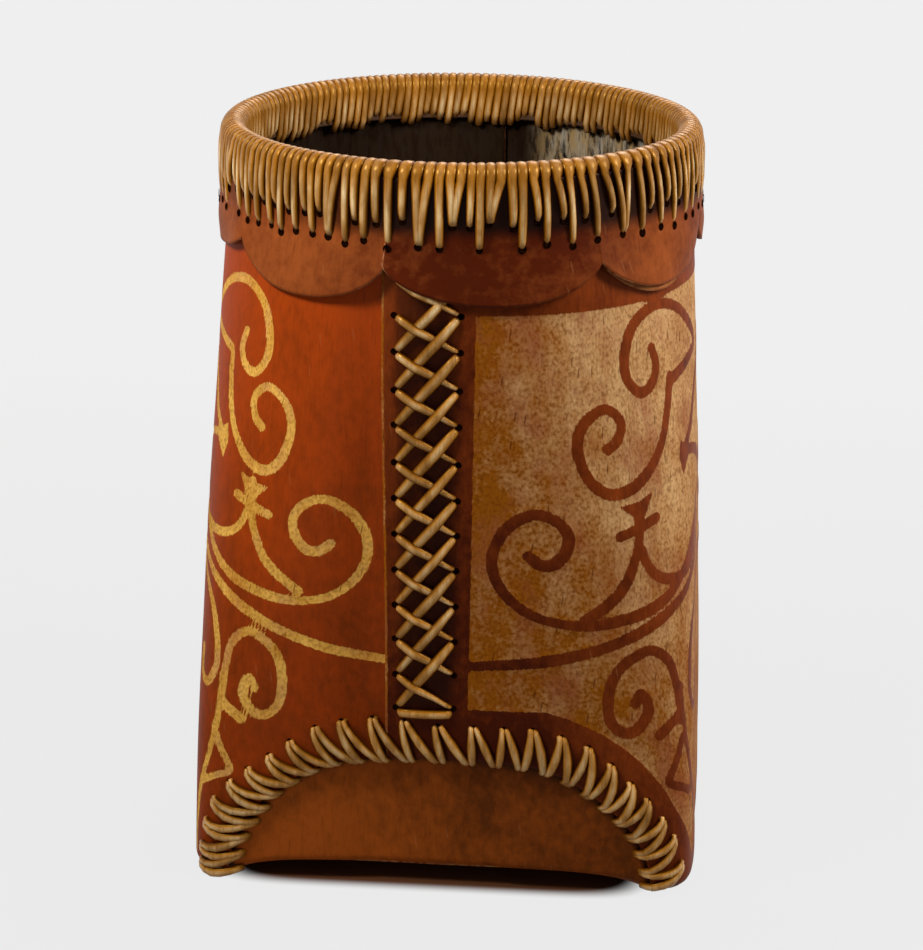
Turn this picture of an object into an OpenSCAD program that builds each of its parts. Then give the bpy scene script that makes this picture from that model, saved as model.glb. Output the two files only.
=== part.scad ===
// A folded birch bark basket, laced with split root.
// The origin is at the middle of the floor it stands on, +Z is up, and the end
// with the seam that is seen first faces -Y. Lengths are in millimetres.

/* [Body] */
// Width of the base, across the seamed ends
base_w = 211.5; // [180:0.5:235]
// Depth of the base, from one seamed end to the other
base_d = 150; // [130:1:175]
// Height of the bark walls
wall_h = 309; // [270:1:360]
// Diameter of the mouth, over the bark
mouth_d = 191; // [170:1:210]
// Radius of the folded corners at the base
corner_r = 15; // [8:1:20]
// How far the walls swell outwards at half height
belly = 1.6; // [0:0.1:4]

/* [Bark] */
// Thickness of the bark
bark_t = 1.5; // [1:0.1:2]
// Clearance between one layer and the next
layer_gap = 0.2; // [0.1:0.05:0.4]

/* [Base and tongues] */
// Width of the arch cut in the walls at each end, at the floor
arch_w = 180; // [150:1:184]
// Height of the arch
arch_h = 60.5; // [45:0.5:65]
// How far a tongue reaches up behind the walls, above the arch
tongue_lap = 18.5; // [17.5:0.1:18.5]
// How far a tongue reaches sideways behind the walls, beyond the arch
tongue_wing = 6; // [3:0.5:8]
// Clearance between a tongue and the walls
tongue_gap = 0.5; // [0.4:0.1:1]
// Height of the straight sides of a tongue
tongue_side = 10; // [6:0.5:16]
// How far the base bows up between its feet
base_rise = 8; // [2:0.5:12]
// Width of the flat strip that the base stands on, under each long fold
foot_w = 9; // [5:0.5:14]

/* [Seams] */
// From the middle of an end to the edge of the upper wing
lap_over = 22.5; // [20:0.5:28]
// From the middle of an end to the hidden edge of the lower wing
lap_under = 13; // [10:0.5:18]
// Length over which the lower wing bends in under the upper one
lap_ease = 16; // [10:1:24]
// From the middle of an end to the left column of lace holes
lace_left = 16.5; // [12:0.5:18]
// From the middle of an end to the right column of lace holes
lace_right = 6; // [4:0.5:8]
// Number of rows of lace holes
lace_rows = 12; // [6:1:12]
// Height between one row of lace holes and the next
lace_pitch = 15.3; // [13:0.1:15.4]
// Height of the lowest row of lace holes
lace_low = 83.4; // [83.4:0.1:86]
// Diameter of the lacing root
lace_d = 2.6; // [2:0.1:3]
// Clearance where two roots cross
cross_gap = 0.5; // [0.3:0.1:1]
// Number of stitches round an arch
arch_stitches = 23; // [11:2:25]
// Length of an arch stitch above the arch's edge
stitch_up = 16; // [12:0.5:16]
// Depth of the stitch holes below the arch's edge
stitch_down = 2.5; // [2:0.5:5]

/* [Collar] */
// Depth of the collar, from the top of the walls to its lowest points
collar_drop = 53.5; // [45:0.5:54]
// Depth of the scallops
scallop_depth = 17; // [8:0.5:20]
// Clearance between the collar and the walls
collar_gap = 0.5; // [0.4:0.1:1]

/* [Rim] */
// Thickness of the wooden hoop
hoop_t = 2.5; // [2:0.1:4]
// Height of the wooden hoop
hoop_h = 15; // [10:0.5:16]
// Wraps in each of the four lengths of binding root
wraps = 20; // [10:1:20]
// Width of one wrap
wrap_w = 5.6; // [3:0.1:5.8]
// Thickness of one wrap
wrap_t = 2.2; // [1.5:0.1:2.6]
// From the top of the walls to the lower row of awl holes
long_drop = 28; // [24:0.5:32]
// From the top of the walls to the upper row of awl holes
short_drop = 20; // [18:0.5:23]

/* [Hidden] */
$fn = 96;

SEAMS = ["front", "back"];

LENGTHS = 4;
SIDES = 6;
layer = bark_t + layer_gap;
mouth_r = mouth_d / 2;
// The bound band at the top, where the walls are a true cylinder
band_z = wall_h - long_drop;
// How late the corners turn round on their way up: 1 would be steady
corner_power = 1.5;
// How square the round of the arch is: 2 would be an ellipse
arch_power = 2.2;
// How square the bow of the base is
bow_power = 6;
tongue_half = arch_w / 2 + tongue_wing;
// From the outer face of the walls to the inner face of a tongue, behind the lap
tongue_back = layer + bark_t + tongue_gap + bark_t;
foot_in = base_w / 2 - layer - foot_w;
// Angles of the cusps between scallops, cut by eye
cusps = [-55, -12, 38, 82, 127, 172, 216, 260];
collar_butt = 0.3;
collar_low = wall_h - collar_drop;
// The collar stops short of the top, where the binding turns over the walls
collar_top = wall_h - 3;
hoop_r = mouth_r - 2 * layer;
hoop_top = wall_h - 1;

bark_red = "#8b3a0e";
bark_tan = "#c09a64";
bark_brown = "#6f330d";
root_gold = "#c98f3e";
wood_pale = "#c8a878";

function lerp(a, b, t) = a + (b - a) * t;
function clamp01(t) = min(1, max(0, t));
function smooth(t) = let (s = clamp01(t)) s * s * (3 - 2 * s);
function unit(v) = v / norm(v);

// The outline of the walls: a rounded rectangle at the base that turns into a
// circle at the mouth. u is the angle from the middle of the front end, positive
// to the right, and inset is measured inwards from the outer face.
function rise(z) = clamp01(z / band_z);
function swell(z) = belly * 4 * rise(z) * (1 - rise(z));
function half_x(z) = lerp(base_w / 2, mouth_r, rise(z)) + swell(z);
function half_y(z) = lerp(base_d / 2, mouth_r, rise(z)) + swell(z);
function roundness(z) =
    let (t = pow(rise(z), corner_power))
    lerp(corner_r, mouth_r, t) / lerp(base_d / 2, mouth_r, t);
function squareness(z) = -ln(2) / ln(1 - (1 - sqrt(1 / 2)) * roundness(z));
function spread(u, p) = pow(pow(abs(sin(u)), p) + pow(abs(cos(u)), p), -1 / p);
function wall_point(u, z, inset) =
    let (k = spread(u, squareness(z)))
    [k * (half_x(z) - inset) * sin(u), -k * (half_y(z) - inset) * cos(u), z];

// The angle of a place on an end wall, by its distance s from the middle; past
// the corner, s goes on along the long wall.
function angle_of(s) =
    abs(s) <= base_w / 2 ? atan(2 * s / base_w)
    : sign(s) * (90 - atan(1 - 2 * (abs(s) - base_w / 2) / base_d));
// The distance from the middle of an end at an angle up to a corner's
function place_of(u) = base_w / 2 * abs(tan(u));

// The arch edge, the tongue's top edge and the bow of the base, by place
function hump(f) = pow(1 - pow(clamp01(f), arch_power), 1 / arch_power);
function arch_z(s) = arch_h * hump(s / (arch_w / 2));
function tongue_z(s) = lerp(tongue_side, arch_h + tongue_lap, hump(s / tongue_half));
function bow_z(s) = base_rise * (1 - pow(clamp01(s / foot_in), bow_power));

// The step inwards of the lower wing, and the tongue's way round it
function step_in(s) = smooth((s + lap_over + 2 + lap_ease) / lap_ease);
function step_out(s) = 1 - smooth((s - lap_under - 2) / lap_ease);
function side_of(u) = mouth_r * sin(u);
function lower_wing_inset(u) = layer * step_in(side_of(u));
function tongue_inset(u) = bark_t + tongue_gap + layer * step_in(side_of(u)) * step_out(side_of(u));

// Columns of a quarter of the walls, closer together at the arch's foot and
// round the corner
arch_u = angle_of(arch_w / 2);
quarter = concat(
    [for (f = [0, 0.1, 0.2, 0.3, 0.4, 0.5, 0.62, 0.74, 0.84, 0.92, 0.97, 1]) f * arch_u],
    [43.5, 45, 46.5, 48.5, 51, 55, 60, 66, 72, 78, 84]
);
half_turn = concat(quarter, [90], [for (k = [len(quarter) - 1:-1:1]) 180 - quarter[k]]);
function columns_between(first, last) = concat(
    [first],
    [for (turn = [-360, -180, 0, 180], u = half_turn) if (u + turn > first + 0.5 && u + turn < last - 0.5) u + turn],
    [last]
);

// The lower edge of a wall: the arch at both ends, the floor along the long fold
function wall_low(u) =
    let (v = abs(abs(u) > 90 ? 180 - abs(u) : u))
    v < arch_u ? arch_z(place_of(v)) : 0;

function triangles(quads) = [for (q = quads) each [[q[0], q[1], q[2]], [q[0], q[2], q[3]]]];

// A bent sheet of bark, its outer face at the given inset; level gives the height
// of each row of points
module bark_sheet(columns, rows, level, inset) {
    n = len(columns);
    m = rows + 1;
    last = n - 1;
    function at(face, c, k) = (face * n + c) * m + k;
    points = [
        for (face = [0, 1], u = columns, k = [0:rows])
            wall_point(u, level(u, k), inset(u) + face * bark_t)
    ];
    faces = [
        for (c = [0:last - 1], k = [0:rows - 1]) each [
            [at(0, c, k), at(0, c, k + 1), at(0, c + 1, k + 1), at(0, c + 1, k)],
            [at(1, c, k), at(1, c + 1, k), at(1, c + 1, k + 1), at(1, c, k + 1)]
        ]
    ];
    rims = [
        for (c = [0:last - 1]) each [
            [at(0, c, 0), at(0, c + 1, 0), at(1, c + 1, 0), at(1, c, 0)],
            [at(0, c + 1, rows), at(0, c, rows), at(1, c, rows), at(1, c + 1, rows)]
        ]
    ];
    ends = [
        for (k = [0:rows - 1]) each [
            [at(0, 0, k + 1), at(0, 0, k), at(1, 0, k), at(1, 0, k + 1)],
            [at(0, last, k), at(0, last, k + 1), at(1, last, k + 1), at(1, last, k)]
        ]
    ];
    polyhedron(points, triangles(concat(faces, rims, ends)), convexity = 6);
}

// The rings of a root: each station is a point and the way its width lies
function ring(path, i, w, t) =
    let (
        ahead = path[min(i + 1, len(path) - 1)][0],
        behind = path[max(i - 1, 0)][0],
        along = unit(ahead - behind),
        across = unit(path[i][1] - (path[i][1] * along) * along),
        out = cross(along, across)
    )
    [for (k = [0:SIDES - 1]) path[i][0] + across * w / 2 * cos(k * 360 / SIDES) + out * t / 2 * sin(k * 360 / SIDES)];
function rings(path, w, t) = [for (i = [0:len(path) - 1]) ring(path, i, w, t)];

module root(path, w, t) {
    n = len(path);
    function at(i, k) = i * SIDES + k % SIDES;
    points = [for (r = rings(path, w, t)) each r];
    skin = [for (i = [0:n - 2], k = [0:SIDES - 1]) [at(i, k), at(i + 1, k), at(i + 1, k + 1), at(i, k + 1)]];
    caps = [for (k = [1:SIDES - 2]) each [[at(0, 0), at(0, k), at(0, k + 1)], [at(n - 1, 0), at(n - 1, k + 1), at(n - 1, k)]]];
    polyhedron(points, concat(triangles(skin), caps), convexity = 10);
}

// The least gap between the points of neighbouring loops, each of size stations
function loop_gap(path, w, t, size) =
    let (r = rings(path, w, t))
    min([
        for (i = [0:3 * size - 1], j = [i + size - 2:i + size + 2], p = r[i], q = r[j]) norm(p - q)
    ]);

module base() {
    module outline() {
        p = squareness(0);
        polygon([
            for (u = [-180 + 2.5:2.5:180])
                spread(u, p) * [(base_w / 2 - layer) * sin(u), (base_d / 2 - tongue_back - layer_gap) * cos(u)]
        ]);
    }
    half = base_w / 2;
    steps = 24;
    bow = [for (k = [-steps:steps]) let (s = foot_in * k / steps) [s, bow_z(abs(s))]];
    under = concat([[-half, 0]], bow, [[half, 0]]);
    over = [for (k = [len(under) - 1:-1:0]) under[k] + [0, bark_t]];
    color(bark_brown)
        intersection() {
            linear_extrude(base_rise + 2 * bark_t) outline();
            translate([0, base_d / 2, 0]) rotate([90, 0, 0]) linear_extrude(base_d) polygon(concat(under, over));
        }
}

// The rows of a wall end at the foot of the bound band and at the top
wall_rows = 8;
function wall_level(u, k) = k == wall_rows ? wall_h : lerp(wall_low(u), band_z, k / (wall_rows - 1));

module right_wall() {
    reach = angle_of(lap_over);
    color(bark_tan)
        bark_sheet(columns_between(-reach, 180 + reach), wall_rows, function (u, k) wall_level(u, k), function (u) 0);
}

module left_wall() {
    reach = angle_of(lap_under);
    color(bark_red)
        bark_sheet(columns_between(-180 - reach, reach), wall_rows,
            function (u, k) wall_level(u, k),
            function (u) lower_wing_inset(u));
}

module tongue() {
    reach = angle_of(tongue_half);
    rows = 3;
    color(bark_brown)
        bark_sheet(columns_between(-reach, reach), rows,
            function (u, k) lerp(bow_z(place_of(u)), tongue_z(place_of(u)), k / rows),
            function (u) tongue_inset(u));
}

// Which scallop an angle lies in, as a share of the way from cusp to cusp
function scallop_z(u) =
    let (
        ends = concat(cusps, [cusps[0] + 360]),
        k = [for (i = [0:len(cusps) - 1]) if (u >= ends[i] && u <= ends[i + 1]) i][0],
        f = (u - ends[k]) / (ends[k + 1] - ends[k])
    )
    collar_low + scallop_depth * (1 - sqrt(1 - pow(2 * f - 1, 2)));

module collar() {
    steps = 9;
    butt = collar_butt / mouth_r * 180 / PI;
    ends = concat(cusps, [cusps[0] + 360]);
    columns = concat(
        [for (i = [0:len(cusps) - 1], k = [0:steps - 1])
            lerp(ends[i], ends[i + 1], (1 - cos(180 * k / steps)) / 2)],
        [cusps[0] + 360 - butt]
    );
    color(bark_red)
        bark_sheet(columns, 2,
            function (u, k) [scallop_z(u), band_z, collar_top][k],
            function (u) -bark_t - collar_gap);
}

module rim_hoop() {
    round_r = hoop_t / 3;
    color(wood_pale)
        rotate_extrude() translate([hoop_r - hoop_t, hoop_top - hoop_h]) difference() {
            square([hoop_t, hoop_h]);
            for (z = [0, hoop_h - round_r]) translate([0, z]) difference() {
                square(round_r);
                translate([round_r, z > 0 ? 0 : round_r]) circle(round_r);
            }
        }
}

// One length of binding root: each wrap climbs the outside, turns over the
// walls, runs down inside the hoop and goes out again at the next awl hole
wrap_out = mouth_r + collar_gap + bark_t + layer_gap + wrap_t / 2;
wrap_in = hoop_r - hoop_t - layer_gap - wrap_t / 2;
wrap_top = wall_h + layer_gap + wrap_t / 2;
shoulder = 2.5;
shoulder_z = wall_h - 0.5;
wrap_step = 360 / LENGTHS / wraps;
function awl_z(i) = wall_h - (i % 2 == 0 ? long_drop : short_drop);
function wrap_station(turn, r, z) = [[r * sin(turn), -r * cos(turn), z], [cos(turn), sin(turn), 0]];
function wrap_stations(turn, i) = [
    wrap_station(turn, wrap_out, awl_z(i)),
    wrap_station(turn, wrap_out, (awl_z(i) + shoulder_z) / 2),
    wrap_station(turn, wrap_out, shoulder_z),
    wrap_station(turn + 0.1 * wrap_step, wrap_out - shoulder, wrap_top),
    wrap_station(turn + 0.3 * wrap_step, wrap_in + shoulder, wrap_top),
    wrap_station(turn + 0.4 * wrap_step, wrap_in, shoulder_z)
];
function wrap_return(turn, i) = [
    wrap_station(turn + 0.7 * wrap_step, wrap_in, (awl_z(i + 1) + shoulder_z) / 2),
    wrap_station(turn + wrap_step, wrap_in, awl_z(i + 1))
];
function wrap_end(turn) = [
    for (z = [shoulder_z - wrap_w, shoulder_z - 2 * wrap_w]) wrap_station(turn + 0.4 * wrap_step, wrap_in, z)
];
function binding_path(first) = concat(
    [wrap_station(first, wrap_in - wrap_t, awl_z(0))],
    [for (i = [0:wraps - 1]) each concat(
        wrap_stations(first + i * wrap_step, i),
        i < wraps - 1 ? wrap_return(first + i * wrap_step, i) : wrap_end(first + i * wrap_step))]
);
echo(binding_gap = loop_gap(binding_path(0), wrap_w, wrap_t, 8));

module rim_binding(which) {
    color(root_gold) root(binding_path((which - 1) * 360 / LENGTHS), wrap_w, wrap_t);
}

// Seam lacing: two roots wind round the lap in opposite slants and pass over and
// under each other twice on the way across
lace_out = -layer_gap - lace_d / 2;
lace_over = lace_out - lace_d - cross_gap;
lace_in = bark_t + layer + layer_gap + lace_d / 2;
lace_deep = lace_in + lace_d + cross_gap;
function row_z(n) = lace_low + (lace_rows - 1 - n) * lace_pitch;
function lace_point(f, z, inset) = wall_point(angle_of(lerp(-lace_left, lace_right, f)), z, inset);
// The two roots have a hole each in every row: the rising root's is the upper
// one on the left and the lower one on the right
lace_apart = lace_d + cross_gap;
lace_skew = lace_apart / lace_pitch;
function lace_cross(k) = (k - lace_skew) / (3 - 2 * lace_skew);
function lace_pass(from, to, heights, shift, inside, wide) =
    let (
        z0 = row_z(from) + shift,
        z1 = row_z(to) - shift,
        stops = [
            [0, inside], [0, lace_out], [lace_cross(1), heights[0]],
            [lace_cross(2), heights[1]], [1, lace_out], [1, inside]
        ]
    )
    [for (stop = stops) [lace_point(stop[0], lerp(z0, z1, stop[0]), stop[1]), wide]];
function rising_path() =
    let (wide = [-2 * lace_pitch, 0, lace_left + lace_right])
    [for (n = [2:lace_rows - 1])
        each lace_pass(n, n - 2, [lace_out, lace_over], lace_apart / 2, lace_in, wide)];
function falling_path() =
    let (wide = [lace_pitch, 0, lace_left + lace_right])
    [for (n = [0:lace_rows - 2])
        each lace_pass(n, n + 1, [lace_over, lace_out], -lace_apart / 2, lace_deep, wide)];
echo(rising_gap = loop_gap(rising_path(), lace_d, lace_d, 6));
echo(falling_gap = loop_gap(falling_path(), lace_d, lace_d, 6));

module seam_rising() {
    color(root_gold) root(rising_path(), lace_d, lace_d);
}

module seam_falling() {
    color(root_gold) root(falling_path(), lace_d, lace_d);
}

// Arch lacing: whip stitches from just below the arch's edge to well above it,
// through the wings and the tongue behind them
function arch_place(turn) = -arch_w / 2 * sign(cos(turn)) * pow(abs(cos(turn)), 2 / arch_power);
function arch_height(turn) = arch_h * pow(sin(turn), 2 / arch_power);
function arch_out(turn) =
    let (s = arch_place(turn) * 2 / arch_w, z = arch_height(turn) / arch_h)
    unit([sign(s) * pow(abs(s), arch_power - 1) / arch_w * 2, pow(z, arch_power - 1) / arch_h]);
function arch_spot(turn, off, inset) =
    let (way = arch_out(turn), s = arch_place(turn) + off * way[0], z = arch_height(turn) + off * way[1])
    wall_point(angle_of(s), z, inset);
stitch_first = 9;
stitch_turn = (180 - 2 * stitch_first) / (arch_stitches - 1);
stitch_behind = tongue_back + layer_gap + lace_d / 2;
function arch_path() = [
    for (i = [0:arch_stitches - 1])
        let (
            low = stitch_first + i * stitch_turn,
            high = low + stitch_turn / 3,
            way = arch_out(low),
            wide = [way[1], 0, -way[0]]
        )
        each [
            [arch_spot(low, -stitch_down, stitch_behind), wide],
            [arch_spot(low, -stitch_down, lace_out), wide],
            [arch_spot(high, stitch_up, lace_out), wide],
            [arch_spot(high, stitch_up, stitch_behind), wide]
        ]
];
echo(arch_gap = loop_gap(arch_path(), lace_d, lace_d, 4));

module arch_lacing() {
    color(root_gold) root(arch_path(), lace_d, lace_d);
}

// The back end is the front one, mirrored
module at_end(seam) {
    mirror([0, seam == "back" ? 1 : 0, 0]) children();
}

base();
left_wall();
right_wall();
collar();
rim_hoop();
for (k = [1:LENGTHS]) rim_binding(k);
for (seam = SEAMS) at_end(seam) {
    tongue();
    seam_rising();
    seam_falling();
    arch_lacing();
}
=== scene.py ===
"""Dresses a folded birch bark basket: bark sheets, scraped ornament, collar, root lacing and stage."""

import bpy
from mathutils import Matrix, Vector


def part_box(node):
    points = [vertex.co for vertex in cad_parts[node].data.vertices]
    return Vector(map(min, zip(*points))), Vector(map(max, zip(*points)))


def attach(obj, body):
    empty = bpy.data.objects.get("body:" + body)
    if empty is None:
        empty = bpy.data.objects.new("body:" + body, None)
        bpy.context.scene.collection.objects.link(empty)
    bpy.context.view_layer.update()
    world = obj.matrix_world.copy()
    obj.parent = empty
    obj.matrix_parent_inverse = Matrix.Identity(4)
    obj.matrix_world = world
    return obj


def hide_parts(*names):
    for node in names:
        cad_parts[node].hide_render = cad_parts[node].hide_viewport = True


bl_info = {
    "name": "Birch Bark Basket",
    "version": (1, 0, 0),
    "blender": (4, 5, 0),
    "location": "View3D > Sidebar > Basket",
    "description": "Bark sheets, scraped ornament, collar and root lacing of a folded birch bark basket",
    "category": "Add Mesh",
}

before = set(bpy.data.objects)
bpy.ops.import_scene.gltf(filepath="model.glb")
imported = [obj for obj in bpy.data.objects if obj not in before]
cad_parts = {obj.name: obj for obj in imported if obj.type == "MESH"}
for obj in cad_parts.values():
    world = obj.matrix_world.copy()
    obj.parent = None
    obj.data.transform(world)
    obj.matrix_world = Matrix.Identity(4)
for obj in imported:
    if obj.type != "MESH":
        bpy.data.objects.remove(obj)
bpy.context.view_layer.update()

import math
import random
from functools import partial

import bmesh
import bpy
import numpy as np
from bpy.props import FloatProperty, FloatVectorProperty, IntProperty, PointerProperty
from bpy.types import Operator, Panel, PropertyGroup
from mathutils import Matrix, Vector

BODY = "root"
MM = 0.001
SEED = 23
ENDS = (("front", 1), ("back", -1))
WALL_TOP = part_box("left_wall")[1].z
BASE_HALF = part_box("right_wall")[1].x
MOUTH_R = -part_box("right_wall")[0].y
COLLAR_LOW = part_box("collar")[0].z
RIM_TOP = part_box("rim_binding_1")[1].z


def linear(hex_colour):
    """An sRGB hex colour as linear red, green and blue."""
    parts = [int(hex_colour[k:k + 2], 16) / 255 for k in (1, 3, 5)]
    return tuple(c / 12.92 if c <= 0.04045 else ((c + 0.055) / 1.055) ** 2.4 for c in parts)


def length(name, description, metres):
    return FloatProperty(name=name, description=description, default=metres, min=0.0, precision=4,
                         unit="LENGTH")


def count(name, description, number, least):
    return IntProperty(name=name, description=description, default=number, min=least)


def colour(name, description, hex_colour):
    return FloatVectorProperty(name=name, description=description, default=linear(hex_colour),
                               min=0.0, max=1.0, size=3, subtype="COLOR")


class BasketForm(PropertyGroup):
    """Sizes of the bark body and collar."""
    base_w: length("Base width", "Width of the base across the seamed ends", 2 * BASE_HALF)
    base_d: length("Base depth", "Depth of the base from one seamed end to the other", 150 * MM)
    wall_h: length("Wall height", "Height of the bark walls", WALL_TOP)
    mouth_d: length("Mouth", "Diameter of the mouth over the bark", 2 * MOUTH_R)
    corner_r: length("Corner radius", "Radius of the folded corners at the base", 15 * MM)
    fold_r: length("Fold radius", "Radius of the long folds between the walls and the base", 7 * MM)
    belly: length("Belly", "How far the walls swell outwards at half height", 1.6 * MM)
    waver: length("Waver", "How far the bark strays from a true surface", 0.35 * MM)
    bark_t: length("Bark thickness", "Thickness of the bark", 1.5 * MM)
    layer_gap: length("Layer clearance", "Clearance between one layer of bark and the next", 0.2 * MM)
    arch_w: length("Arch width", "Width of the arch cut in the walls at each end", 180 * MM)
    arch_h: length("Arch height", "Height of the arch", 60.5 * MM)
    tongue_lap: length("Tongue lap", "How far a tongue reaches up behind the walls", 18.5 * MM)
    base_rise: length("Base bow", "How far the base bows up between its feet", 8 * MM)
    lap_over: length("Upper wing", "From the middle of an end to the edge of the upper wing", 22.5 * MM)
    lap_under: length("Lower wing", "From the middle of an end to the lower wing's hidden edge", 13 * MM)
    lap_ease: length("Lap ease", "Length over which the lower wing bends in under the upper one", 16 * MM)
    lap_lean: length("Lap lean", "How far the upper wing's edge leans out towards the mouth", 3 * MM)
    skive: length("Skived edge", "Width of the thinned edge of the upper wing", 1.3 * MM)
    collar_low: length("Collar foot", "Height of the lowest points of the collar", COLLAR_LOW)
    scallop_depth: length("Scallop depth", "Depth of the scallops", 17 * MM)
    scrape_depth: length("Scrape depth", "How deep the ornament is scraped into the bark", 0.2 * MM)
    stroke_left: length("Left stroke", "Width of the scraped lines on the left wall", 4.0 * MM)
    stroke_right: length("Right stroke", "Width of the lines left standing on the right wall", 4.7 * MM)


class BasketRoots(PropertyGroup):
    """Sizes and counts of the root binding and lacing."""
    wrap_pitch: length("Wrap pitch", "Common spacing of the binding's wraps along the rim", 4.0 * MM)
    wrap_w: length("Wrap width", "Greatest width of one wrap", 4.1 * MM)
    wrap_t: length("Wrap thickness", "Thickness of one wrap", 3.2 * MM)
    long_drop: length("Long wrap", "From the top of the walls to the lower row of awl holes", 28 * MM)
    short_drop: length("Short wrap", "From the top of the walls to the upper row of awl holes", 19.5 * MM)
    lace_w: length("Lace width", "Width of the lacing root", 4.0 * MM)
    lace_t: length("Lace thickness", "Thickness of the lacing root", 2.6 * MM)
    lace_left: length("Left holes", "From the middle of an end to the left column of lace holes", 16.5 * MM)
    lace_right: length("Right holes", "From the middle of an end to the right column of lace holes", 6 * MM)
    lace_low: length("Lowest holes", "Height of the lowest row of lace holes", 83.4 * MM)
    lace_pitch: length("Lace pitch", "Height between two rows of lace holes", 15.3 * MM)
    lace_rows: count("Lace rows", "Number of rows of lace holes", 12, 6)
    stitches: count("Arch stitches", "Number of stitches round an arch", 24, 5)
    stitch_w: length("Stitch width", "Width of an arch stitch's strands at their middle", 4.3 * MM)
    stitch_up: length("Stitch length", "Length of an arch stitch above the arch's edge", 17.4 * MM)
    hole_r: length("Awl hole", "Radius of an awl hole", 1.4 * MM)


class BasketColours(PropertyGroup):
    """Colours of bark, root and stage."""
    red: colour("Red bark", "Inner face of the bark on the left wall", "#aa400b")
    red_dark: colour("Dark red bark", "Stains and weathering of the red bark", "#742f08")
    border: colour("Border bark", "Borders and lines left standing on the right wall", "#86390f")
    border_dark: colour("Dark border bark", "Stains of the borders", "#461502")
    collar: colour("Collar bark", "Bark of the collar", "#9c4e20")
    collar_dark: colour("Dark collar bark", "Stains of the collar", "#551c05")
    brown: colour("Brown bark", "Base and tongues", "#aa5216")
    brown_dark: colour("Dark brown bark", "Stains of the brown bark", "#622e09")
    gold: colour("Scraped gold", "Fresh bark under the scraped lines of the left wall", "#ffc45c")
    gold_dark: colour("Aged gold", "Stains of the scraped lines", "#cc8c2c")
    gold_rose: colour("Rosy gold", "Fuzzy places in the scraped lines", "#e0a468")
    tan: colour("Scraped tan", "Ground of the right wall, scraped pale", "#d8a870")
    tan_dark: colour("Amber tan", "Amber stains of the scraped ground", "#985408")
    tan_rose: colour("Rose tan", "Rosy stains of the scraped ground", "#9c5638")
    edge: colour("Cut edge", "Cut edges of the bark", "#b97a4c")
    rind: colour("Outer rind", "Flaky outer rind, which lines the inside", "#a88a5c")
    rind_grey: colour("Grey rind", "Weathered scales of the outer rind", "#a89c88")
    # Painted shade: besides the dark scales, this colour is painted over the inside where light does not
    # reach.
    rind_dark_and_shade: colour("Dark rind", "Old smoke and shade in the outer rind", "#1f1006")
    root: colour("Root", "Peeled and split root", "#c0780e")
    # Painted highlight: the pale stripe along the crown of the roots.
    root_painted_highlight: colour("Pale root", "Crown of the root, rubbed pale", "#ffe6b0")
    # Also the painted shade on the sides of the roots.
    root_dark_and_side_shade: colour("Dark root", "Sides and stains of the root", "#4a2402")
    wood: colour("Hoop wood", "Bent wooden hoop", "#462c14")
    # Painted shade: the dark inside of an awl hole, also the colour of the painted shade under the roots
    # and the arch's edge.
    hole: colour("Awl hole", "Inside of an awl hole", "#0c0402")
    # Painted shade: the paper under the raised base takes this dark colour.
    shade: colour("Shade", "Paper in the shade under the base", "#5c3820")
    floor: colour("Floor", "Pale studio floor", "#8a8a8a")
    backdrop: colour("Backdrop", "How pale the floor and the sky show", "#efefef")


def form():
    return bpy.context.scene.basket_form


def roots():
    return bpy.context.scene.basket_roots


def colours():
    return bpy.context.scene.basket_colours


# Shape of the walls, the same as the frame's: a rounded rectangle that turns into a circle

ARCH_POWER = 2.2
BOW_POWER = 6
CORNER_POWER = 1.5
COLLAR_GAP = 0.5 * MM
TONGUE_GAP = 0.5 * MM
TONGUE_WING = 6 * MM
TONGUE_SIDE = 10 * MM
FOOT_W = 9 * MM
LAP_CLEAR = 2 * MM
SHEET_CORNER = 2.2 * MM
# The arch stands a little fuller at its shoulders: by how much, where and how widely
SHOULDER, SHOULDER_AT, SHOULDER_REACH = 2.4 * MM, 46 * MM, 17 * MM


def lerp(a, b, t):
    return a + (b - a) * t


def smooth(t):
    t = np.clip(t, 0.0, 1.0)
    return t * t * (3 - 2 * t)


def ramp(value, start, run):
    """Rises smoothly from 0 to 1 over a run that begins at a start, both in millimetres."""
    return smooth((value - start * MM) / (run * MM))


def hump(f):
    return (1 - np.clip(np.abs(f), 0.0, 1.0) ** ARCH_POWER) ** (1 / ARCH_POWER)


def layer():
    return form().bark_t + form().layer_gap


def band_z():
    """Foot of the bound band, above which the walls are a true cylinder."""
    return form().wall_h - roots().long_drop


def stray(turn, z):
    """Hand-made unevenness of every layer of bark, in shares of the waver."""
    return (np.sin(3 * turn + 1.1) * np.sin(z / (41 * MM)) + np.sin(7 * turn + z / (57 * MM))
            + 0.6 * np.sin(11 * turn - z / (23 * MM) + 2.0)) * 0.5


def wall_points(turn, z, inset=0.0):
    """Points on the walls by angle from the front middle, height and depth below the outer face."""
    f = form()
    turn, z = np.broadcast_arrays(np.asarray(turn, float), np.asarray(z, float))
    mouth = f.mouth_d / 2
    up = np.clip(z / band_z(), 0.0, 1.0)
    late = up ** CORNER_POWER
    out = f.belly * 4 * up * (1 - up) + f.waver * stray(turn, z) - inset
    half_x = lerp(f.base_w / 2, mouth, up) + out
    half_y = lerp(f.base_d / 2, mouth, up) + out
    roundness = lerp(f.corner_r, mouth, late) / lerp(f.base_d / 2, mouth, late)
    power = -math.log(2) / np.log(1 - (1 - math.sqrt(0.5)) * roundness)
    spread = (np.abs(np.sin(turn)) ** power + np.abs(np.cos(turn)) ** power) ** (-1 / power)
    return np.stack([spread * half_x * np.sin(turn), -spread * half_y * np.cos(turn), z], axis=-1)


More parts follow.
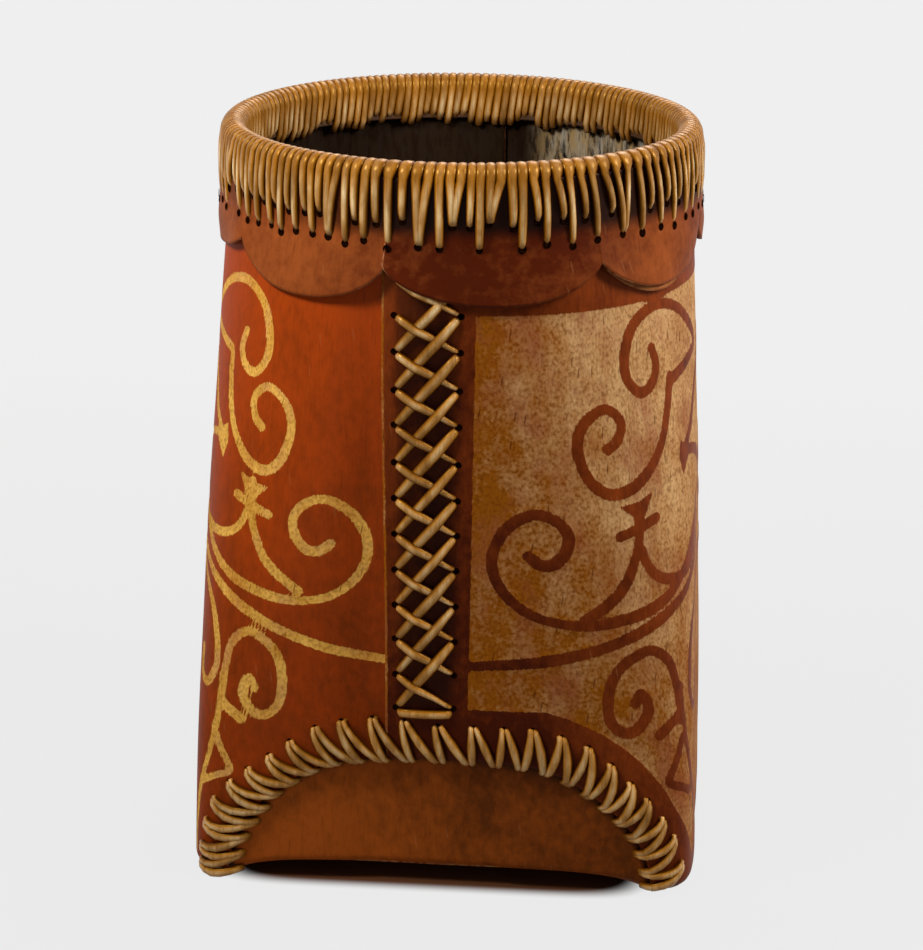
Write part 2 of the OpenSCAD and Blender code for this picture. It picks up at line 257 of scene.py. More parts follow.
def wall_normals(turn, z):
    """Outward normals of the walls, from neighbouring points."""
    step = 0.002
    across = wall_points(turn + step, z) - wall_points(turn - step, z)
    up = wall_points(turn, z + step) - wall_points(turn, z - step)
    out = np.cross(across, up)
    return out / np.linalg.norm(out, axis=-1, keepdims=True)


def half_round():
    """Distance along the base's outline from the front middle to the back middle."""
    return form().base_w + form().base_d


def end_place(along):
    """Distance along the base's outline from the middle of the nearer end."""
    return np.minimum(np.abs(along), np.abs(half_round() - np.abs(along)))


def turn_of(along):
    """The angle of a place by its distance along the base's outline from the front middle."""
    f = form()
    near = end_place(along)
    end = np.arctan(2 * near / f.base_w)
    side = math.pi / 2 - np.arctan(1 - 2 * (near - f.base_w / 2) / f.base_d)
    turn = np.where(near <= f.base_w / 2, end, side)
    behind = np.abs(along) > half_round() / 2
    past = np.where(np.abs(along) > half_round(), -1.0, 1.0)
    return np.sign(along) * np.where(behind, math.pi - turn * past, turn)


def arch_z(along):
    """Lower edge of the walls: the arch, and past its feet the rounded corner of the sheet."""
    near = end_place(along)
    corner = SHEET_CORNER * (1 - ramp(near - form().arch_w / 2, 0, 16))
    shoulder = SHOULDER * np.exp(-((near - SHOULDER_AT) / SHOULDER_REACH) ** 2)
    return np.maximum(form().arch_h * hump(2 * near / form().arch_w) + shoulder, corner)


def tongue_half():
    return form().arch_w / 2 + TONGUE_WING


def tongue_z(along):
    return lerp(TONGUE_SIDE, form().arch_h + form().tongue_lap, hump(along / tongue_half()))


def bow_z(x):
    foot_in = form().base_w / 2 - layer() - FOOT_W
    return form().base_rise * (1 - np.clip(np.abs(x) / foot_in, 0.0, 1.0) ** BOW_POWER)


def step_in(turn):
    """How far the lower wing has bent in, 0 to 1, on its way under the upper one."""
    side = form().mouth_d / 2 * np.sin(turn)
    return smooth((side + form().lap_over + LAP_CLEAR + form().lap_ease) / form().lap_ease)


def step_out(turn):
    side = form().mouth_d / 2 * np.sin(turn)
    return 1 - smooth((side - form().lap_under - LAP_CLEAR) / form().lap_ease)


def fold_inset(height, radius):
    """How far a folded sheet has turned in at a height above its crease."""
    low = np.clip(1 - height / radius, 0.0, 1.0)
    return radius * (1 - np.sqrt(1 - low * low))


# The scraped ornament: strokes on one half of a wall, mirrored about the wall's middle line.
# Places are millimetres from the middle line and up from the floor. A stroke that starts at a place below
# zero runs past the middle line, so it meets its mirror image there. The walls were drawn by hand, so a
# stroke lies a little further one way on the left wall than on the right one: by a drift at its start,
# and by others, evenly spaced, to its end.

STROKES = {
    "upper curl": ([(1, 1), (1, 4)], [
        (66, 234), (64.5, 226.5), (69, 220), (76.5, 218.5), (82, 227), (79.5, 239), (73, 247.5),
        (60.5, 252), (46, 249), (33, 241), (22, 230), (34, 225.5), (56, 221.5)]),
    "middle curl": ([(1.5, 2.5), (-3, 2), (-4, 1.5)], [
        (56.5, 221.5), (59, 211.5), (64.5, 198.5), (72, 189), (82, 181.5), (92, 179.5), (99, 185),
        (102.5, 196), (101, 205), (96, 211), (88.5, 214), (82.5, 208.5), (84.5, 201), (89, 197.5)]),
    "leaf stem": ([(6, 2)], [(-8, 234), (4, 229), (20, 218), (32, 208), (41, 197), (52, 189)]),
    "leaf branch": ([(6, 2)], [(14, 172), (26, 180), (38, 185), (50, 188)]),
    "crossbar": ([(1, 2)], [(75, 167), (93, 161.5)]),
    "stem": ([(0.5, 4)], [(83.5, 172), (84, 162), (88, 151), (93.5, 141.5), (101, 134.5), (110, 128.5)]),
    "hook": ([(0.5, 6.5)], [
        (83.5, 160), (81.5, 153.5), (77.5, 148), (71, 145), (62, 144), (50, 146), (38, 152), (28, 161)]),
    "great spiral": ([(0, 7), (-4, 2), (-4, 1)], [
        (-8, 182), (4, 178), (18, 170), (36, 158), (52, 147), (66, 138), (80, 131.5), (94, 127.5),
        (106, 125.5), (116, 126), (127, 129), (136, 136.5), (140.5, 147), (139, 157), (132, 166.5),
        (122, 171.5), (113.5, 169), (109, 162.5), (110.5, 155.5), (115.5, 150), (121, 149.5),
        (125.5, 153)]),
    "ground line": ([(0, 5.5), (0, 0)], [
        (-8, 165), (4, 161), (18, 154), (36, 143.5), (54, 135), (70, 128.5), (86, 121), (100, 115),
        (115, 110), (132, 106), (156, 103)]),
    "side curl": ([(8.5, 4)], [
        (-10, 139), (10, 138), (30, 134), (46, 127), (59, 117), (65, 106), (67.5, 92), (62, 82), (55, 85),
        (54, 95)]),
    "lower spiral": ([(5.5, 1.5), (2, 1), (2, 0)], [
        (74.5, 79), (76, 94), (79, 105.5), (86, 111.5), (93, 109.5), (100.5, 103), (104, 92.5),
        (103.5, 81.5), (98.5, 76), (93, 77), (88, 83.5), (88, 89), (90.5, 92.5), (93, 88)]),
    "branch": ([(4.5, 0)], [(75.5, 80.5), (85.5, 73.5)]),
    "lower stem": ([(5.5, 0), (7, 0)], [
        (74, 92), (73.5, 78), (71, 64), (67, 51), (62.5, 38), (59.5, 24), (58, 8)]),
    "triangle": ([(4, -1)], [(73, 69), (77, 60), (81.5, 51), (74, 47), (68, 43.5)]),
}
LEAVES = {
    "arrow": ((1, 1.5), [(75, 178), (83, 174.5), (92, 173.5), (86.5, 169), (83.5, 163.5), (79.5, 170)]),
    "edge leaf": ((6, 2), [(57, 194), (46, 187), (56, 178.5), (59, 186)]),
}
STRAIGHT = ("crossbar", "branch")
# Shares of the common width that the finer strokes have
THIN = {"triangle": 0.8, "lower stem": 0.75}
# The scraped ground of the right wall: its top, its side borders' widths at two heights in millimetres,
# and the arch that it keeps clear of
PANEL_TOP = 252 * MM
PANEL_SIDE = ((83, 12.1), (250, 15.6))
PANEL_ARCH, PANEL_CREST, PANEL_REACH, PANEL_FOOT = 87 * MM, 83.5 * MM, 130 * MM, 14 * MM


def flowing(points, steps=7):
    """A smooth line through given points."""
    p = np.array([points[0]] + list(points) + [points[-1]], float)
    t = np.linspace(0, 1, steps, endpoint=False)[:, None]
    runs = []
    for a, b, c, d in zip(p, p[1:], p[2:], p[3:]):
        square = a - 2.5 * b + 2 * c - d / 2
        cube = 1.5 * (b - c) + (d - a) / 2
        runs.append(b + (c - a) / 2 * t + square * t ** 2 + cube * t ** 3)
    return np.concatenate(runs + [p[-1:]])


def line_distance(places, line):
    """Distance of each place from a line of points."""
    best = np.full(len(places), 1e9)
    for a, b in zip(line, line[1:]):
        way = b - a
        t = np.clip((places - a) @ way / max(way @ way, 1e-12), 0.0, 1.0)
        best = np.minimum(best, np.hypot(*(places - a - t[:, None] * way).T))
    return best


def inside(places, ring):
    """Whether each place lies inside a ring of points."""
    crossings = np.zeros(len(places), bool)
    for a, b in zip(ring, np.roll(ring, -1, axis=0)):
        spans = (a[1] > places[:, 1]) != (b[1] > places[:, 1])
        rise = b[1] - a[1] if b[1] != a[1] else 1e-9
        crossings ^= spans & (places[:, 0] < a[0] + (b[0] - a[0]) * (places[:, 1] - a[1]) / rise)
    return crossings


def ornament(places, hand, width):
    """Distance outside the ornament's strokes; hand is 1 on the left wall and -1 on the right one."""
    best = np.full(len(places), 1e9)
    uneven = 1 + 0.12 * np.sin(places[:, 0] / (11 * MM)) * np.sin(places[:, 1] / (9 * MM))
    for name, (drifts, points) in STROKES.items():
        at = np.linspace(0, len(drifts) - 1, len(points))
        drift = np.stack([np.interp(at, range(len(drifts)), part) for part in zip(*drifts)], axis=-1)
        moved = (np.array(points, float) + hand * drift) * MM
        line = moved if name in STRAIGHT else flowing(moved)
        best = np.minimum(best, line_distance(places, line) - width / 2 * THIN.get(name, 1.0) * uneven)
    for drift, points in LEAVES.values():
        ring = (np.array(points, float) + hand * np.array(drift)) * MM
        edge = line_distance(places, np.vstack([ring, ring[:1]]))
        best = np.minimum(best, np.where(inside(places, ring), -edge, edge))
    return best


def panel(along, z):
    """Distance inside the scraped ground of the right wall, from its borders."""
    near = end_place(along)
    (z0, side0), (z1, side1) = PANEL_SIDE
    side = lerp(side0, side1, (z / MM - z0) / (z1 - z0)) * MM
    arch = np.minimum(PANEL_CREST, PANEL_ARCH * (1 - (near / PANEL_REACH) ** 3))
    foot = np.maximum(arch, PANEL_FOOT)
    beyond = (np.abs(along) - half_round() > 0) | (along < 0)
    return np.where(beyond, -1.0, np.minimum(np.minimum(near - side, PANEL_TOP - z), z - foot))


def middle_distance(turn, z):
    """Distance along the wall at each height from the wall's middle line."""
    levels = np.linspace(0, form().wall_h, 13)
    fine = np.linspace(0, math.pi / 2 + 0.5, 400)
    off = np.abs(np.abs(turn) - math.pi / 2)
    total = np.zeros(len(turn))
    for level in levels:
        line = wall_points(math.pi / 2 - fine, np.full_like(fine, level))
        run = np.concatenate([[0.0], np.cumsum(np.linalg.norm(np.diff(line, axis=0), axis=1))])
        weight = np.clip(1 - np.abs(z - level) / (levels[1] - levels[0]), 0.0, 1.0)
        total += weight * np.interp(off, fine, run)
    return total


# Making of pieces


def make_piece(name, mesh, finishes, slot, *nodes):
    """An object at the origin that rides on the basket's one body and stands for its nodes."""
    mesh.polygons.foreach_set("use_smooth", np.ones(len(mesh.polygons), bool))
    mesh.update()
    piece = bpy.data.objects.new(name, mesh)
    bpy.context.scene.collection.objects.link(piece)
    for shade in finishes:
        mesh.materials.append(material_of(shade))
    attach(piece, BODY)
    if nodes:
        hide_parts(*nodes)
    return piece


def bark_piece(name, mesh, thickness, finishes, slot, *nodes):
    """A bark sheet with its thickness. The finishes are for its face, its inside and its cut edges."""
    solid = make_piece(name, mesh, finishes, slot, *nodes).modifiers.new("bark thickness", "SOLIDIFY")
    solid.thickness = thickness
    solid.offset = -1.0
    solid.use_even_offset = True
    solid.material_offset = 1
    solid.material_offset_rim = 2


def gathered(name, bm):
    """A finished bmesh as a mesh."""
    mesh = bpy.data.meshes.new(name)
    bm.to_mesh(mesh)
    bm.free()
    return mesh


def add_copy(target, bm):
    """Adds one finished shape to the bmesh that gathers its kind."""
    mesh = gathered("one shape", bm)
    target.from_mesh(mesh)
    bpy.data.meshes.remove(mesh)


def bark_grid(name, columns, rows, bend):
    """A flat grid bent to the basket: bend takes shares across and up, and returns the points and what
    the bark is like there, as a number for each point or one for all."""
    bm = bmesh.new()
    bmesh.ops.create_grid(bm, x_segments=columns, y_segments=rows, size=0.5)
    mesh = gathered(name, bm)
    flat = np.empty(len(mesh.vertices) * 3)
    mesh.vertices.foreach_get("co", flat)
    flat = flat.reshape(-1, 3) + 0.5
    points, qualities = bend(flat[:, 0], flat[:, 1])
    mesh.vertices.foreach_set("co", np.ravel(points))
    for quality, values in qualities.items():
        values = np.asarray(values, np.float32)
        kind, field = ("FLOAT_VECTOR", "vector") if values.ndim == 2 else ("FLOAT", "value")
        if values.ndim == 0:
            values = np.full(len(points), values)
        mesh.attributes.new(quality, kind, "POINT").data.foreach_set(field, np.ravel(values))
    return mesh


def crowded(share, low, high, spots, reach, gain):
    """Spreads columns from low to high, closer together near each spot."""
    fine = np.linspace(low, high, 4001)
    weight = 1 + sum(gain * np.exp(-((fine - spot) / reach) ** 2) for spot in spots)
    total = np.concatenate([[0.0], np.cumsum((weight[1:] + weight[:-1]) / 2)])
    return np.interp(share, total / total[-1], fine)


STRAND_SIDES, HOLE_SIDES = 10, 12


def strand_frames(path):
    """A matrix for each station of a root; a station is a point, the way out, a width and a thickness."""
    frames = []
    for k, (point, out, width, thick) in enumerate(path):
        ahead = Vector(path[min(k + 1, len(path) - 1)][0])
        behind = Vector(path[max(k - 1, 0)][0])
        along = (ahead - behind).normalized()
        across = along.cross(Vector(out)).normalized()
        up = across.cross(along)
        turned = Matrix((across * width / 2, up * thick / 2, along)).transposed()
        frames.append(Matrix.Translation(Vector(point)) @ turned.to_4x4())
    return frames


def add_strand(target, path, tint):
    """Extrudes one root along its stations and adds it to the target bmesh."""
    bm = bmesh.new()
    tints, ends, crowns = (bm.verts.layers.float.new(quality) for quality in ("tint", "end", "crown"))
    frames = strand_frames(path)
    ring = bmesh.ops.create_circle(bm, segments=STRAND_SIDES, radius=1.0)["verts"]
    bmesh.ops.transform(bm, matrix=frames[0], verts=ring)
    edges = bm.edges[:]
    last = len(frames) - 1
    for k, placed in enumerate(frames):
        if k > 0:
            grown = bmesh.ops.extrude_edge_only(bm, edges=edges)["geom"]
            ring = [g for g in grown if isinstance(g, bmesh.types.BMVert)]
            edges = [g for g in grown if isinstance(g, bmesh.types.BMEdge) and g.is_boundary]
            bmesh.ops.transform(bm, matrix=placed @ frames[k - 1].inverted(), verts=ring)
        level = placed.inverted()
        for vert in ring:
            vert[tints] = tint
            vert[ends] = abs(2 * k / last - 1)
            vert[crowns] = (level @ vert.co).y
    bmesh.ops.holes_fill(bm, edges=[e for e in bm.edges if e.is_boundary], sides=STRAND_SIDES)
    bmesh.ops.recalc_face_normals(bm, faces=bm.faces[:])
    add_copy(target, bm)


def root_piece(name, paths, chance, nodes):
    """All the roots of one length of lacing as one piece."""
    bm = bmesh.new()
    for path in paths:
        add_strand(bm, path, chance.random())
    return make_piece(name, gathered(name, bm), [split_spruce_root], "split_root", *nodes)


def hole_piece(name, holes, slot):
    """Awl holes, each a disc painted dark as the shade inside a hole, with a raised lip of pressed bark
    round it.
    """
    gather = bmesh.new()
    for point, out, radius in holes:
        bm = bmesh.new()
        bmesh.ops.create_circle(bm, cap_ends=True, segments=HOLE_SIDES, radius=radius * 1.2)
        face = bm.faces[:]
        bmesh.ops.inset_individual(bm, faces=face, thickness=radius * 0.2, depth=0.2 * MM)
        bmesh.ops.inset_individual(bm, faces=face, thickness=radius * 0.15, depth=-0.12 * MM)
        turned = Vector(out).to_track_quat("Z", "Y").to_matrix().to_4x4()
        bmesh.ops.transform(bm, matrix=Matrix.Translation(Vector(point)) @ turned, verts=bm.verts[:])
        add_copy(gather, bm)
    return make_piece(name, gathered(name, gather), [awl_hole], slot)


# Materials


def add_node(tree, kind, inputs=None, **settings):
    """Adds a node, sets its properties, and links or sets its inputs; a node means its first output."""
    node = tree.nodes.new("ShaderNode" + kind)
    for key, value in settings.items():
        setattr(node, key, value)
    for key, value in (inputs or {}).items():
        if isinstance(value, bpy.types.Node):
            value = next(socket for socket in value.outputs if socket.enabled)
        if isinstance(value, bpy.types.NodeSocket):
            tree.links.new(value, node.inputs[key])
        else:
            node.inputs[key].default_value = value
    return node


def rgba(value):
    return (*value, 1.0)


def per_mm(size):
    """The scale of a pattern whose features are this many millimetres apart."""
    return 1 / (size * MM)


def material_of(shade):
    """The material named for a finish, made when it is first asked for: shade adds the finish's nodes
    and gives back its shader."""
    name = shade.__name__
    if name not in bpy.data.materials:
        material = bpy.data.materials.new(name)
        material.use_nodes = True
        material.node_tree.nodes.clear()
        add = partial(add_node, material.node_tree)
        add("OutputMaterial", {"Surface": shade(add)})
    return bpy.data.materials[name]


def overlaid(add, tone, layers):
    """Lays colours over a tone. A layer is the pattern it follows, the pattern's values where it begins
    and where it is full, its share there, and its colour."""
    for pattern, begin, full, most, over in layers:
        share = add("MapRange", {0: pattern, 1: begin, 2: full, 3: 0.0, 4: most})
        tone = add("Mix", {0: share, 6: tone, 7: rgba(over)}, data_type="RGBA")
    return tone


def combined(add, operation, share, parts):
    """A share from 0 to 1 that patterns add to or cut down. A part is a pattern, its range, and the range
    of shares that it stands for."""
    for pattern, begin, full, low, high in parts:
        part = add("MapRange", {0: pattern, 1: begin, 2: full, 3: low, 4: high})
        share = add("Math", {0: share, 1: part}, operation=operation)
    share.use_clamp = True
    return share


def lenticels(add, place, lean, apart, tall, bare):
    """Thin dashes where the bark breathed: upright, because the sheet is turned on its side. They lean by
    an angle, lie in places of a width and height in millimetres, and a share of these stays bare."""
    leaning = add("Mapping", {"Vector": place, "Rotation": (0.0, 0.0, math.radians(lean))})
    cells = add("Mapping", {"Vector": leaning, "Scale": (per_mm(apart), per_mm(tall), 0.0)})
    dots = add("TexVoronoi", {"Vector": cells, "Scale": 1.0}, voronoi_dimensions="2D")
    picked = add("SeparateColor", {0: dots.outputs["Color"]})
    return combined(add, "MULTIPLY", 1.0, [(picked, bare, bare + 0.02, 0.0, 1.0),
                                           (dots.outputs["Distance"], 0.11, 0.06, 0.0, 1.0)])


def bark_face(add, whole, dark, scraped=None):
    """The inner face of birch bark, peeled in winter: a leathery skin with broad stains, small mottles,
    short upright fibres, light scuffs, dark lenticel dashes, and painted shade under the roots and below
    the arch's edge. Where scraped colours are given, the skin is scraped away inside the ornament and the
    paler bark beneath shows, with the marks of the scraper across it."""
    place = add("Attribute", attribute_name="bark_place").outputs["Vector"]
    stain, grime = (add("Attribute", attribute_name=quality).outputs["Fac"]
                    for quality in ("stain", "grime"))
    upright = add("Mapping", {"Vector": place, "Scale": (1.0, 0.22, 1.0)})
    clouds = add("TexNoise", {"Vector": place, "Scale": per_mm(45), "Detail": 6.0, "Roughness": 0.6})
    mottles = add("TexNoise", {"Vector": place, "Scale": per_mm(6), "Detail": 5.0, "Roughness": 0.65})
    fibres = add("TexNoise", {"Vector": upright, "Scale": per_mm(1.8), "Detail": 2.0})
    grain = add("TexNoise", {"Vector": place, "Scale": per_mm(1.1), "Detail": 2.0})
    # This darkening follows the stain and shade attribute: real stains, and on the tongues painted shade.
    darkness = combined(add, "ADD", stain, [(clouds, 0.3, 0.7, -0.3, 0.35),
                                            (mottles, 0.35, 0.65, -0.22, 0.22)])
    skin = overlaid(add, rgba(whole), [
        (darkness, 0.0, 1.0, 1.0, dark),
        (fibres, 0.5, 0.78, 0.3, dark),
        (lenticels(add, place, 5, 4, 34, 0.68), 0.0, 1.0, 0.35, dark),
        (lenticels(add, place, -9, 3.5, 30, 0.93), 0.0, 1.0, 0.2, colours().edge),
        (grime, 0.0, 1.0, 1.0, colours().hole),
    # Painted shade: the skin goes towards the awl hole's dark colour wherever the painted shade attribute
    # is set.
    ])
    if scraped:
        pale, deep, rosy = scraped
        depth, zone = (add("Attribute", attribute_name=quality).outputs["Fac"]
                       for quality in ("scraped", "pale"))
        torn = add("Mapping", {"Vector": place, "Scale": (1.0, 0.35, 1.0)})
        tears = add("TexNoise", {"Vector": torn, "Scale": per_mm(1.5), "Detail": 3.0})
        ragged = add("MapRange", {0: tears, 1: 0.2, 2: 0.8, 3: -0.5, 4: 0.5})
        edge = add("Math", {0: depth, 1: ragged}, operation="ADD")
        bare = add("MapRange", {0: edge, 1: -0.15, 2: 0.2})
        blotches = add("TexNoise", {"Vector": place, "Scale": per_mm(26), "Detail": 7.0, "Roughness": 0.6})
        flushed = add("TexNoise", {"Vector": place, "Scale": per_mm(30), "Detail": 5.0, "Roughness": 0.62})
        level = add("Mapping", {"Vector": place, "Scale": (0.16, 1.0, 1.0)})
        ripples = add("TexNoise", {"Vector": level, "Scale": per_mm(1.7), "Detail": 3.0})
        paleness = combined(add, "ADD", 0.0, [
            (zone, 0.0, 1.0, 0.04, 0.9),
            (blotches, 0.2, 0.8, -0.65, 0.5),
            (mottles, 0.25, 0.75, 0.16, -0.16),
            (ripples, 0.3, 0.7, 0.2, -0.2),
        ])
        ground = overlaid(add, rgba(deep), [
            (paleness, 0.0, 1.0, 1.0, pale),
            (flushed, 0.5, 0.66, 0.6, rosy),
            (ripples, 0.48, 0.7, 0.4, dark),
            (fibres, 0.5, 0.75, 0.35, deep),
            (grain, 0.52, 0.72, 0.3, dark),
            (clouds, 0.48, 0.68, 0.4, whole),
            (lenticels(add, place, 10, 4, 26, 0.72), 0.0, 1.0, 0.65, dark),
        ])
        skin = add("Mix", {0: bare, 6: skin, 7: ground}, data_type="RGBA")
        rough = add("MapRange", {0: bare, 3: 0.5, 4: 0.66})
    else:
        rough = add("MapRange", {0: grain, 1: 0.3, 2: 0.7, 3: 0.44, 4: 0.6})
    bump = add("Bump", {"Strength": 0.3, "Distance": 0.2 * MM, "Height": fibres})
    fine = add("Bump", {"Strength": 0.3, "Distance": 0.15 * MM, "Height": grain, "Normal": bump})
    return add("BsdfPrincipled", {"Base Color": skin, "Roughness": rough, "Specular IOR Level": 0.05,
                                  "Normal": fine})


def winter_bark_red(add):
    """Red bark of the left wall, with gold lines scraped into it."""
    c = colours()
    return bark_face(add, c.red, c.red_dark, (c.gold, c.gold_dark, c.gold_rose))


def winter_bark_scraped_tan(add):
    """Dark bark of the right wall, scraped away to a tan ground between its lines."""
    c = colours()
    return bark_face(add, c.border, c.border_dark, (c.tan, c.tan_dark, c.tan_rose))


def winter_bark_collar(add):
    """Bark of the collar, flaked pale in a few places."""
    c = colours()
    return bark_face(add, c.collar, c.collar_dark, (c.edge, c.tan_dark, c.tan_rose))


def winter_bark_brown(add):
    """Unscraped bark of the base and the tongues."""
    return bark_face(add, colours().brown, colours().brown_dark)


def cut_bark_edge(add):
    """Birch bark cut with a knife: thin layers, paler than the face and a little fuzzy."""
    place = add("TexCoord").outputs["Object"]
    layers = add("TexNoise", {"Vector": place, "Scale": per_mm(3), "Detail": 4.0})
    tone = overlaid(add, rgba(colours().red_dark), [(layers, 0.35, 0.65, 1.0, colours().edge)])
    return add("BsdfPrincipled", {"Base Color": tone, "Roughness": 0.75, "Specular IOR Level": 0.15})


def birch_outer_rind(add):
    """The tree's papery outer rind, which lines the inside: tan sheets that lift in grey scales and dark
    scales, with painted shade over all of it but high up at the right and back and on the loose flakes."""
    c = colours()
    place = add("Attribute", attribute_name="bark_place").outputs["Vector"]
    clean = add("Attribute", attribute_name="clean").outputs["Fac"]
    tall = add("Mapping", {"Vector": place, "Scale": (1.0, 0.4, 1.0)})
    torn = add("TexNoise", {"Vector": tall, "Scale": per_mm(14), "Detail": 6.0, "Roughness": 0.7})
    scales = add("TexNoise", {"Vector": tall, "Scale": per_mm(5), "Detail": 5.0, "Roughness": 0.7})
    tone = overlaid(add, rgba(c.rind), [
        (torn, 0.42, 0.58, 1.0, c.rind_grey),
        (scales, 0.46, 0.6, 0.85, c.rind_dark_and_shade),
        # Painted shade: the rind goes almost to the dark colour wherever it is not marked unshaded.
        (clean, 1.0, 0.0, 0.98, c.rind_dark_and_shade),
    ])
    bump = add("Bump", {"Strength": 0.8, "Distance": 0.8 * MM, "Height": torn})
    return add("BsdfPrincipled", {"Base Color": tone, "Roughness": 0.85, "Specular IOR Level": 0.05,
                                  "Normal": bump})


def split_spruce_root(add):
    """Spruce root, peeled and split: a hard, polished skin with a painted highlight along its crown,
    fine grain along it, painted shade on its sides, and darker stains towards the holes and on the rim."""
    c = colours()
    place = add("TexCoord").outputs["Object"]
    height = add("SeparateXYZ", {0: place}).outputs["Z"]
    tint, end, crown = (add("Attribute", attribute_name=quality).outputs["Fac"]
                        for quality in ("tint", "end", "crown"))
    tall = add("Mapping", {"Vector": place, "Scale": (1.0, 1.0, 0.35)})
    thread = add("Mapping", {"Vector": place, "Scale": (1.0, 1.0, 0.08)})
    stains = add("TexNoise", {"Vector": tall, "Scale": per_mm(6), "Detail": 4.0})
    grain = add("TexNoise", {"Vector": thread, "Scale": per_mm(0.9), "Detail": 2.0})
    # Painted highlight: a pale stripe along each root's crown, weaker at the top of the rim, near the ends,
    # lower down and in patches.
    painted_highlight = combined(add, "MULTIPLY", 1.0, [
        (crown, 0.72, 1.0, 0.0, 0.9),
        (height, WALL_TOP - 10 * MM, WALL_TOP - 3 * MM, 1.0, 0.2),
        (end, 0.6, 0.95, 1.0, 0.15),
        (height, WALL_TOP - 60 * MM, WALL_TOP - 45 * MM, 0.6, 1.0),
        (stains, 0.36, 0.56, 1.0, 0.35),
    ])
    tone = overlaid(add, rgba(c.root), [
        (tint, 0.0, 1.0, 0.35, c.root_dark_and_side_shade),
        (painted_highlight, 0.0, 1.0, 1.0, c.root_painted_highlight),
        # Painted shade on the sides of each root, away from its crown.
        (crown, 0.84, 0.3, 0.97, c.root_dark_and_side_shade),
        (stains, 0.46, 0.7, 0.5, c.root_dark_and_side_shade),
        (grain, 0.5, 0.75, 0.4, c.root_dark_and_side_shade),
        (height, WALL_TOP - 8 * MM, WALL_TOP, 0.3, c.root_dark_and_side_shade),
        (end, 0.75, 1.0, 0.6, c.root_dark_and_side_shade),
    ])
    bump = add("Bump", {"Strength": 0.25, "Distance": 0.15 * MM, "Height": grain})
    polish = add("MapRange", {0: stains, 1: 0.3, 2: 0.7, 3: 0.24, 4: 0.38})
    return add("BsdfPrincipled", {"Base Color": tone, "Roughness": polish, "IOR": 1.5,
                                  "Specular IOR Level": 0.45, "Specular Tint": rgba(c.gold),
                                  "Normal": bump})


def awl_hole(add):
    """The inside of a hole pressed with an awl, painted dark as shade."""
    place = add("TexCoord").outputs["Object"]
    fuzz = add("TexNoise", {"Vector": place, "Scale": per_mm(1.5)})
    tone = overlaid(add, rgba(colours().hole), [(fuzz, 0.4, 0.8, 0.15, colours().brown_dark)])
    return add("BsdfPrincipled", {"Base Color": tone, "Roughness": 0.9, "Specular IOR Level": 0.0})


def bent_cedar_splint(add):
    """Cedar splint, shaved and bent green: straight grain along the hoop, matt from the knife."""
    place = add("TexCoord").outputs["Object"]
    drawn = add("Mapping", {"Vector": place, "Scale": (0.12, 0.12, 1.0)})
    grain = add("TexNoise", {"Vector": drawn, "Scale": per_mm(1.6), "Detail": 4.0})
    tone = overlaid(add, rgba(colours().wood), [(grain, 0.35, 0.7, 1.0, colours().root_dark_and_side_shade)])
    bump = add("Bump", {"Strength": 0.3, "Distance": 0.2 * MM, "Height": grain})
    return add("BsdfPrincipled", {"Base Color": tone, "Roughness": 0.6, "Normal": bump})


def seen_pale(add, share):
    """The backdrop's share, for rays that look at it straight, in a mirror or through glass."""
    path = add("LightPath")
    seen = 0.0
    for ray in ("Is Camera Ray", "Is Glossy Ray", "Is Transmission Ray"):
        seen = add("Math", {0: seen, 1: path.outputs[ray]}, operation="ADD", use_clamp=True)
    return add("Math", {0: seen, 1: share}, operation="MULTIPLY")


# The painted shade under the base: half its width and depth in millimetres, its shift, how square its
# corners are
SHADE_HALF, SHADE_SHIFT, SHADE_POWER = (87, 74), 0.05, 8.0
# How far the floor fades into the backdrop beside the shade
PAPER_GLOW = 0.93


def studio_paper(add):
    """Matt studio paper on the floor, lit from all round, which keeps the basket's shadow and has painted
    shade under the base."""
    place = add("TexCoord").outputs["Object"]
    tooth = add("TexNoise", {"Vector": place, "Scale": per_mm(2)})
    bump = add("Bump", {"Strength": 0.05, "Distance": 0.1 * MM, "Height": tooth})
    scaled = add("Mapping", {"Vector": place, "Location": (SHADE_SHIFT, 0.0, 0.0),
                             "Scale": (*map(per_mm, SHADE_HALF), 0.0)})
    split = add("SeparateXYZ", {0: scaled})
    reach = 0.0
    for axis in ("X", "Y"):
        off = add("Math", {0: split.outputs[axis]}, operation="ABSOLUTE")
        raised = add("Math", {0: off, 1: SHADE_POWER}, operation="POWER")
        reach = add("Math", {0: reach, 1: raised}, operation="ADD")
    reach = add("Math", {0: reach, 1: 1 / SHADE_POWER}, operation="POWER")
    beside = add("MapRange", {0: reach, 1: 0.96, 2: 1.1, 3: 0.0, 4: PAPER_GLOW},
                 interpolation_type="SMOOTHSTEP")
    beyond = add("MapRange", {0: reach, 1: 1.1, 2: 10.0, 3: 0.0, 4: 1 - PAPER_GLOW})
    open_floor = add("Math", {0: beside, 1: beyond}, operation="ADD")
    # Painted shade: the paper darkens to the shade colour under the base.
    tone = overlaid(add, rgba(colours().floor), [(reach, 1.1, 0.98, 1.0, colours().shade)])
    paper = add("BsdfPrincipled", {"Base Color": tone, "Roughness": 0.9, "Specular IOR Level": 0.1,
                                   "Normal": bump})
    glow = add("Emission", {"Color": rgba(colours().backdrop), "Strength": 1.0})
    return add("MixShader", {0: seen_pale(add, open_floor), 1: paper, 2: glow})


# Operators, one for each group of pieces


WALL_COLUMNS, WALL_ROWS = 236, 186
# A grid's columns crowd together where its outline turns sharply: within this reach, this many times more
CROWD_REACH, CROWD_GAIN = 3 * MM, 5
# Width in millimetres over which the edge of a scraped place slopes
SCRAPE_SLOPE = 0.8
SKIVE_DEPTH = 0.9 * MM
LINING = (birch_outer_rind, cut_bark_edge)


